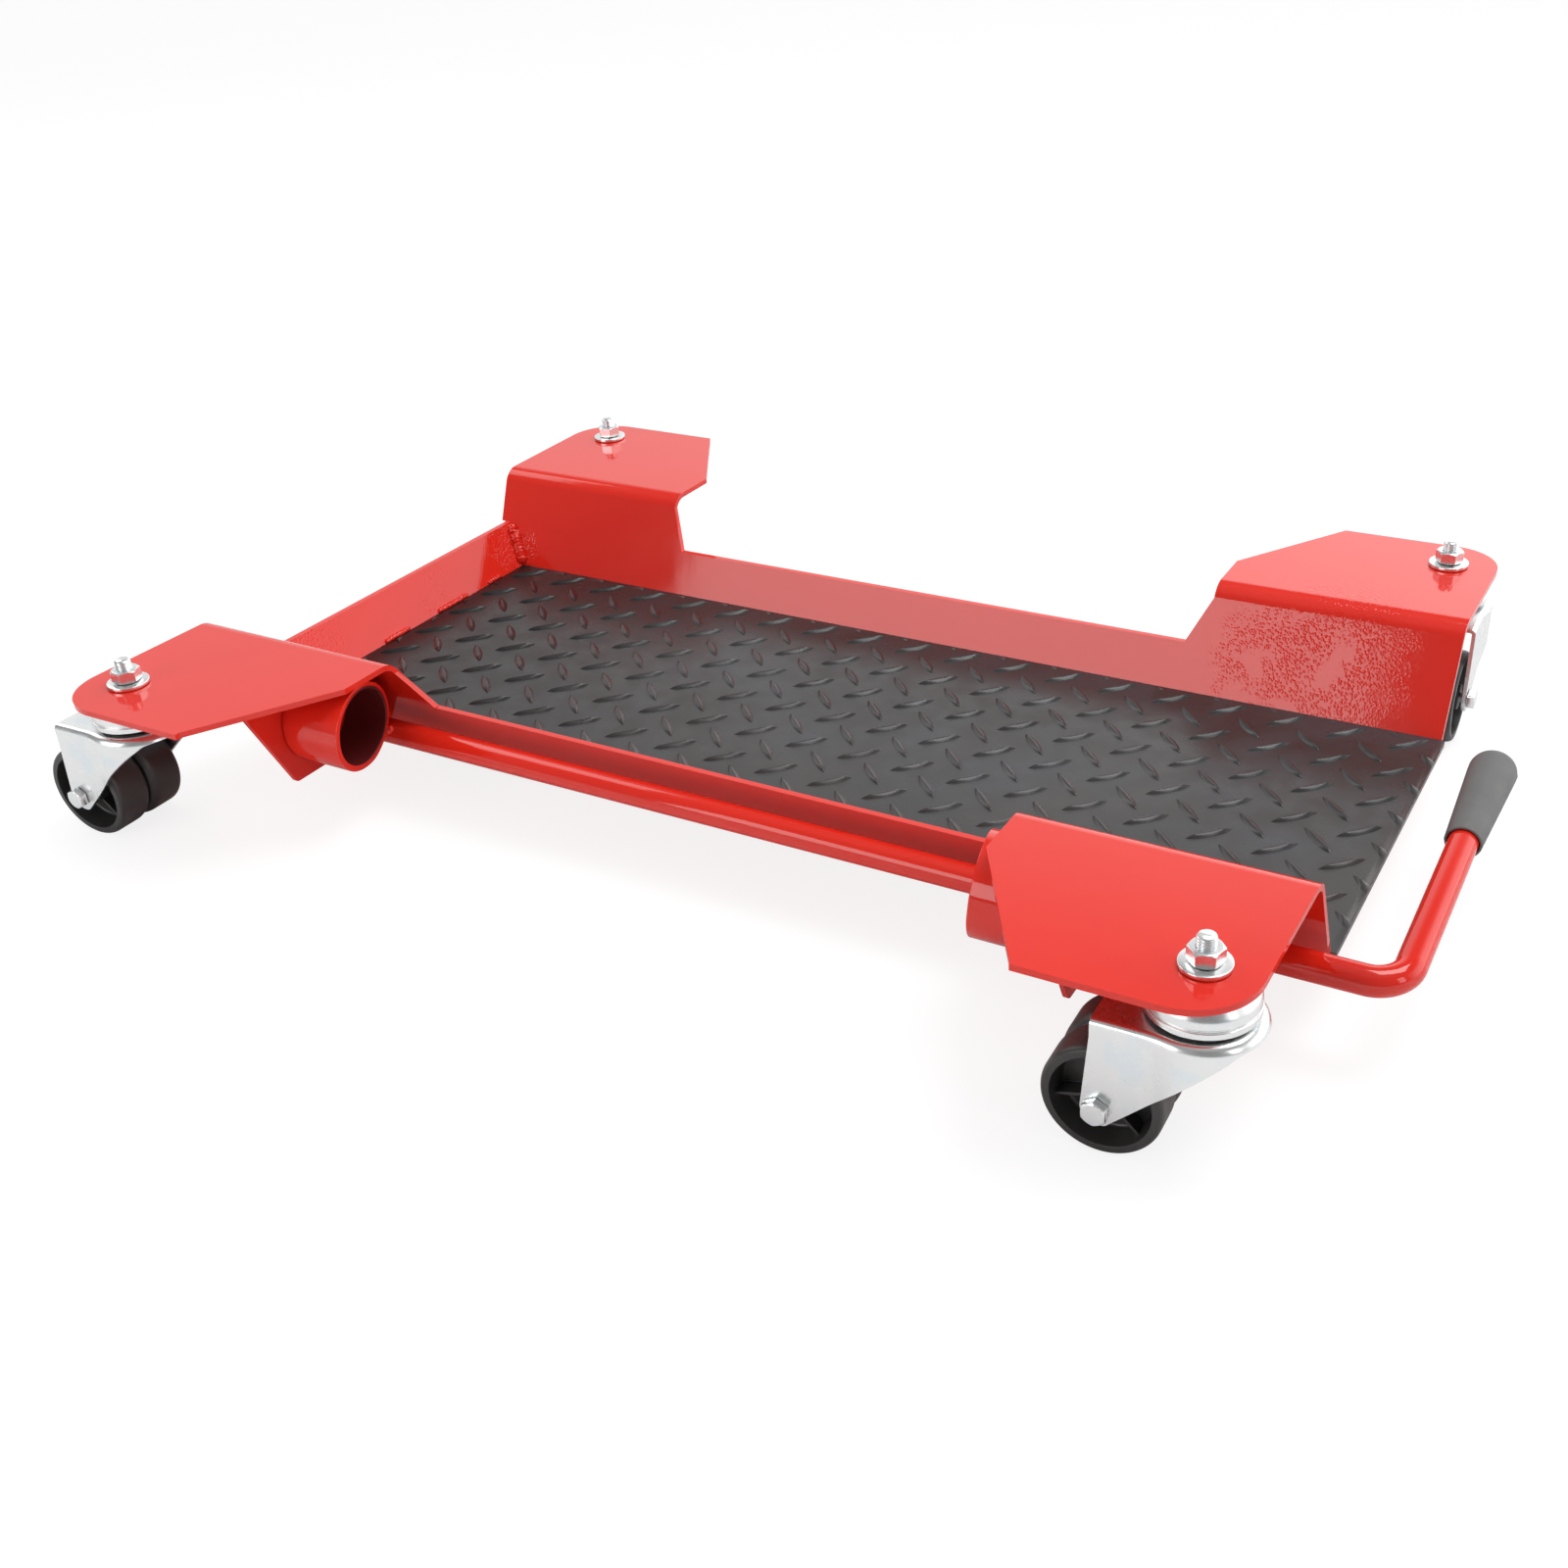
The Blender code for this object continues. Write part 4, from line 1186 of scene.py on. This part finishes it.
def build_casters():
    stud, washer, cup, cage = make_stud(), make_washer(), make_cup(), make_cage()
    nut = chamfered_hexagon(NUT_FLATS, *heights("fr_stud_nut"), STUD_RADIUS - 0.2 * MM, True)
    fork, axle, axle_nut, wheel = make_fork(), make_axle(), make_axle_nut(), make_wheel()
    rib_turn = Matrix.Rotation(radians(75), 4, "Z")
    for corner, nut_turn in NUT_TURNS.items():
        x, y = JOINTS[corner + "_swivel"]["pos_m"][:2]
        axis = JOINTS[corner + "_near_spin"]["axis"]
        turn = Matrix.Rotation(atan2(-axis[0], axis[1]), 4, "Z")
        mount = Matrix.Translation((x, y, 0))
        clocked = mount @ Matrix.Rotation(radians(nut_turn), 4, "Z")
        fork_body = corner + "_fork_body"
        swivel = mount @ turn
        centre = swivel @ Matrix.Translation((-TRAIL, 0, AXLE_Z))
        far = centre @ Matrix.Rotation(-pi / 2, 4, "X")
        near = centre @ Matrix.Rotation(pi / 2, 4, "X")
        outside = far @ Matrix.Translation((0, 0, FORK_HALF_WIDTH + GAP))
        zinc_parts = (
            ("threaded_stud", "stud", stud, "frame", mount, 35),
            ("flat_washer", "washer", washer, "frame", mount, 35),
            ("wing_nut", "stud_nut", nut, "frame", clocked, None),
            ("swivel_head", "swivel_cup", cup, "frame", mount, 35),
            ("pressed_fork", "fork", fork, fork_body, swivel, None),
            ("axle_bolt", "axle", axle, fork_body, far, 35),
            ("lock_nut", "axle_nut", axle_nut, fork_body, outside, 35),
        )
        for name, node, mesh, body, at, smooth in zinc_parts:
            piece(f"{corner}_{name}", mesh, "zinc_plate", body, f"{corner}_{node}", at=at, smooth=smooth)
        piece(f"{corner}_ball_ring", cage, "cage_plastic", fork_body, f"{corner}_ball_cage", at=swivel)
        for name, side in (("near", near), ("far", far)):
            at = side @ Matrix.Translation((0, 0, WHEEL_GAP)) @ rib_turn
            body = f"{corner}_{name}_wheel_body"
            node = f"{corner}_wheel_{name}"
            piece(f"{corner}_{name}_roller", wheel, "wheel_plastic", body, node, at=at)


# Studio


def floor_material():
    """Pale matt floor, which glows to the camera so that it shows almost white, with only a faint shadow."""
    finish = Finish("studio_floor")
    seen = finish.add("LightPath").outputs["Is Camera Ray"]
    pale = finish.mix(finish.noise(3.0, 2.0), (0.80, 0.80, 0.80), (0.82, 0.82, 0.82))
    finish.set(Base_Color=finish.mix(seen, pale, (0.22, 0.22, 0.22)))
    finish.set(Roughness=0.9, Specular_IOR_Level=0.1)
    finish.set(Emission_Color=(1.0, 1.0, 1.0, 1.0))
    finish.set(Emission_Strength=finish.math("MULTIPLY", seen, 0.83))
    return finish.material


def build_floor():
    """A wide pale floor under the wheels."""
    half = 15.0
    level = CAD_BOX[0][2]
    corners = ((-half, -half), (half, -half), (half, half), (-half, half))
    shape = bmesh.new()
    shape.faces.new([shape.verts.new((x, y, level)) for x, y in corners])
    mesh = finished_mesh(shape, "floor")
    mesh.materials.append(floor_material())
    shown("studio_floor", mesh)


def area_light(name, place, size, radiance, mirrored=True):
    """A soft box of size (width, height), aimed at the dolly. Unless mirrored, it shows in no reflection."""
    light = bpy.data.lights.new(name, "AREA")
    light.shape = "RECTANGLE"
    light.size, light.size_y = size
    light.energy = radiance * pi * size[0] * size[1]
    lamp = shown(name, light)
    lamp.location = place
    lamp.rotation_euler = (-Vector(place)).to_track_quat("-Z", "Y").to_euler()
    lamp.visible_glossy = mirrored


def build_world():
    """Dim walls, with a white backdrop behind the dolly that is brightest at its right."""
    world = bpy.data.worlds.new("studio")
    bpy.context.scene.world = world
    world.use_nodes = True
    graph = Graph(world.node_tree)
    way = graph.add("SeparateXYZ", {0: graph.add("TexCoord").outputs["Generated"]}).outputs
    behind = graph.span(way["Y"], -0.15, 0.45, 0.0, 1.0)
    low = graph.span(way["Z"], 0.42, 0.70, 1.0, 0.0)
    bright = graph.span(way["X"], -0.75, 0.10, 0.60, 1.80)
    backdrop = graph.math("MULTIPLY", graph.math("MULTIPLY", behind, low), bright)
    ceiling = graph.span(way["Z"], 0.72, 0.95, 0.26, 0.50)
    seen = graph.add("LightPath").outputs["Is Camera Ray"]
    strength = graph.math("MAXIMUM", graph.math("ADD", backdrop, ceiling), seen)
    background = graph.tree.nodes["Background"]
    graph.feed(background.inputs["Strength"], strength)
    graph.feed(background.inputs["Color"], (1.0, 1.0, 1.0, 1.0))


def build_lights():
    area_light("front_box", (-0.90, -2.09, 0.75), (1.42, 1.1), 3.2)
    area_light("left_box", (-2.2, 0.2, 1.7), (1.3, 1.1), 2.2)
    area_light("right_strip", (2.3, -0.7, 0.9), (0.5, 1.2), 2.6)
    area_light("overhead", (0.1, -0.1, 2.2), (2.4, 2.4), 0.3, mirrored=False)
    area_light("ceiling_box", (0.75, 0.55, 2.2), (1.2, 1.2), 6.0)


def build_camera():
    camera = shown("camera", bpy.data.cameras.new("camera"))
    camera.location = CAMERA_PLACE
    camera.rotation_euler = [radians(turn) for turn in CAMERA_TURN]
    camera.data.lens = CAMERA_LENS
    camera.data.shift_x, camera.data.shift_y = CAMERA_SHIFT
    bpy.context.scene.camera = camera
    bpy.context.scene.view_settings.view_transform = "Standard"


def main():
    build_platform()
    build_brake()
    build_casters()
    build_floor()
    build_world()
    build_lights()
    build_camera()


main()
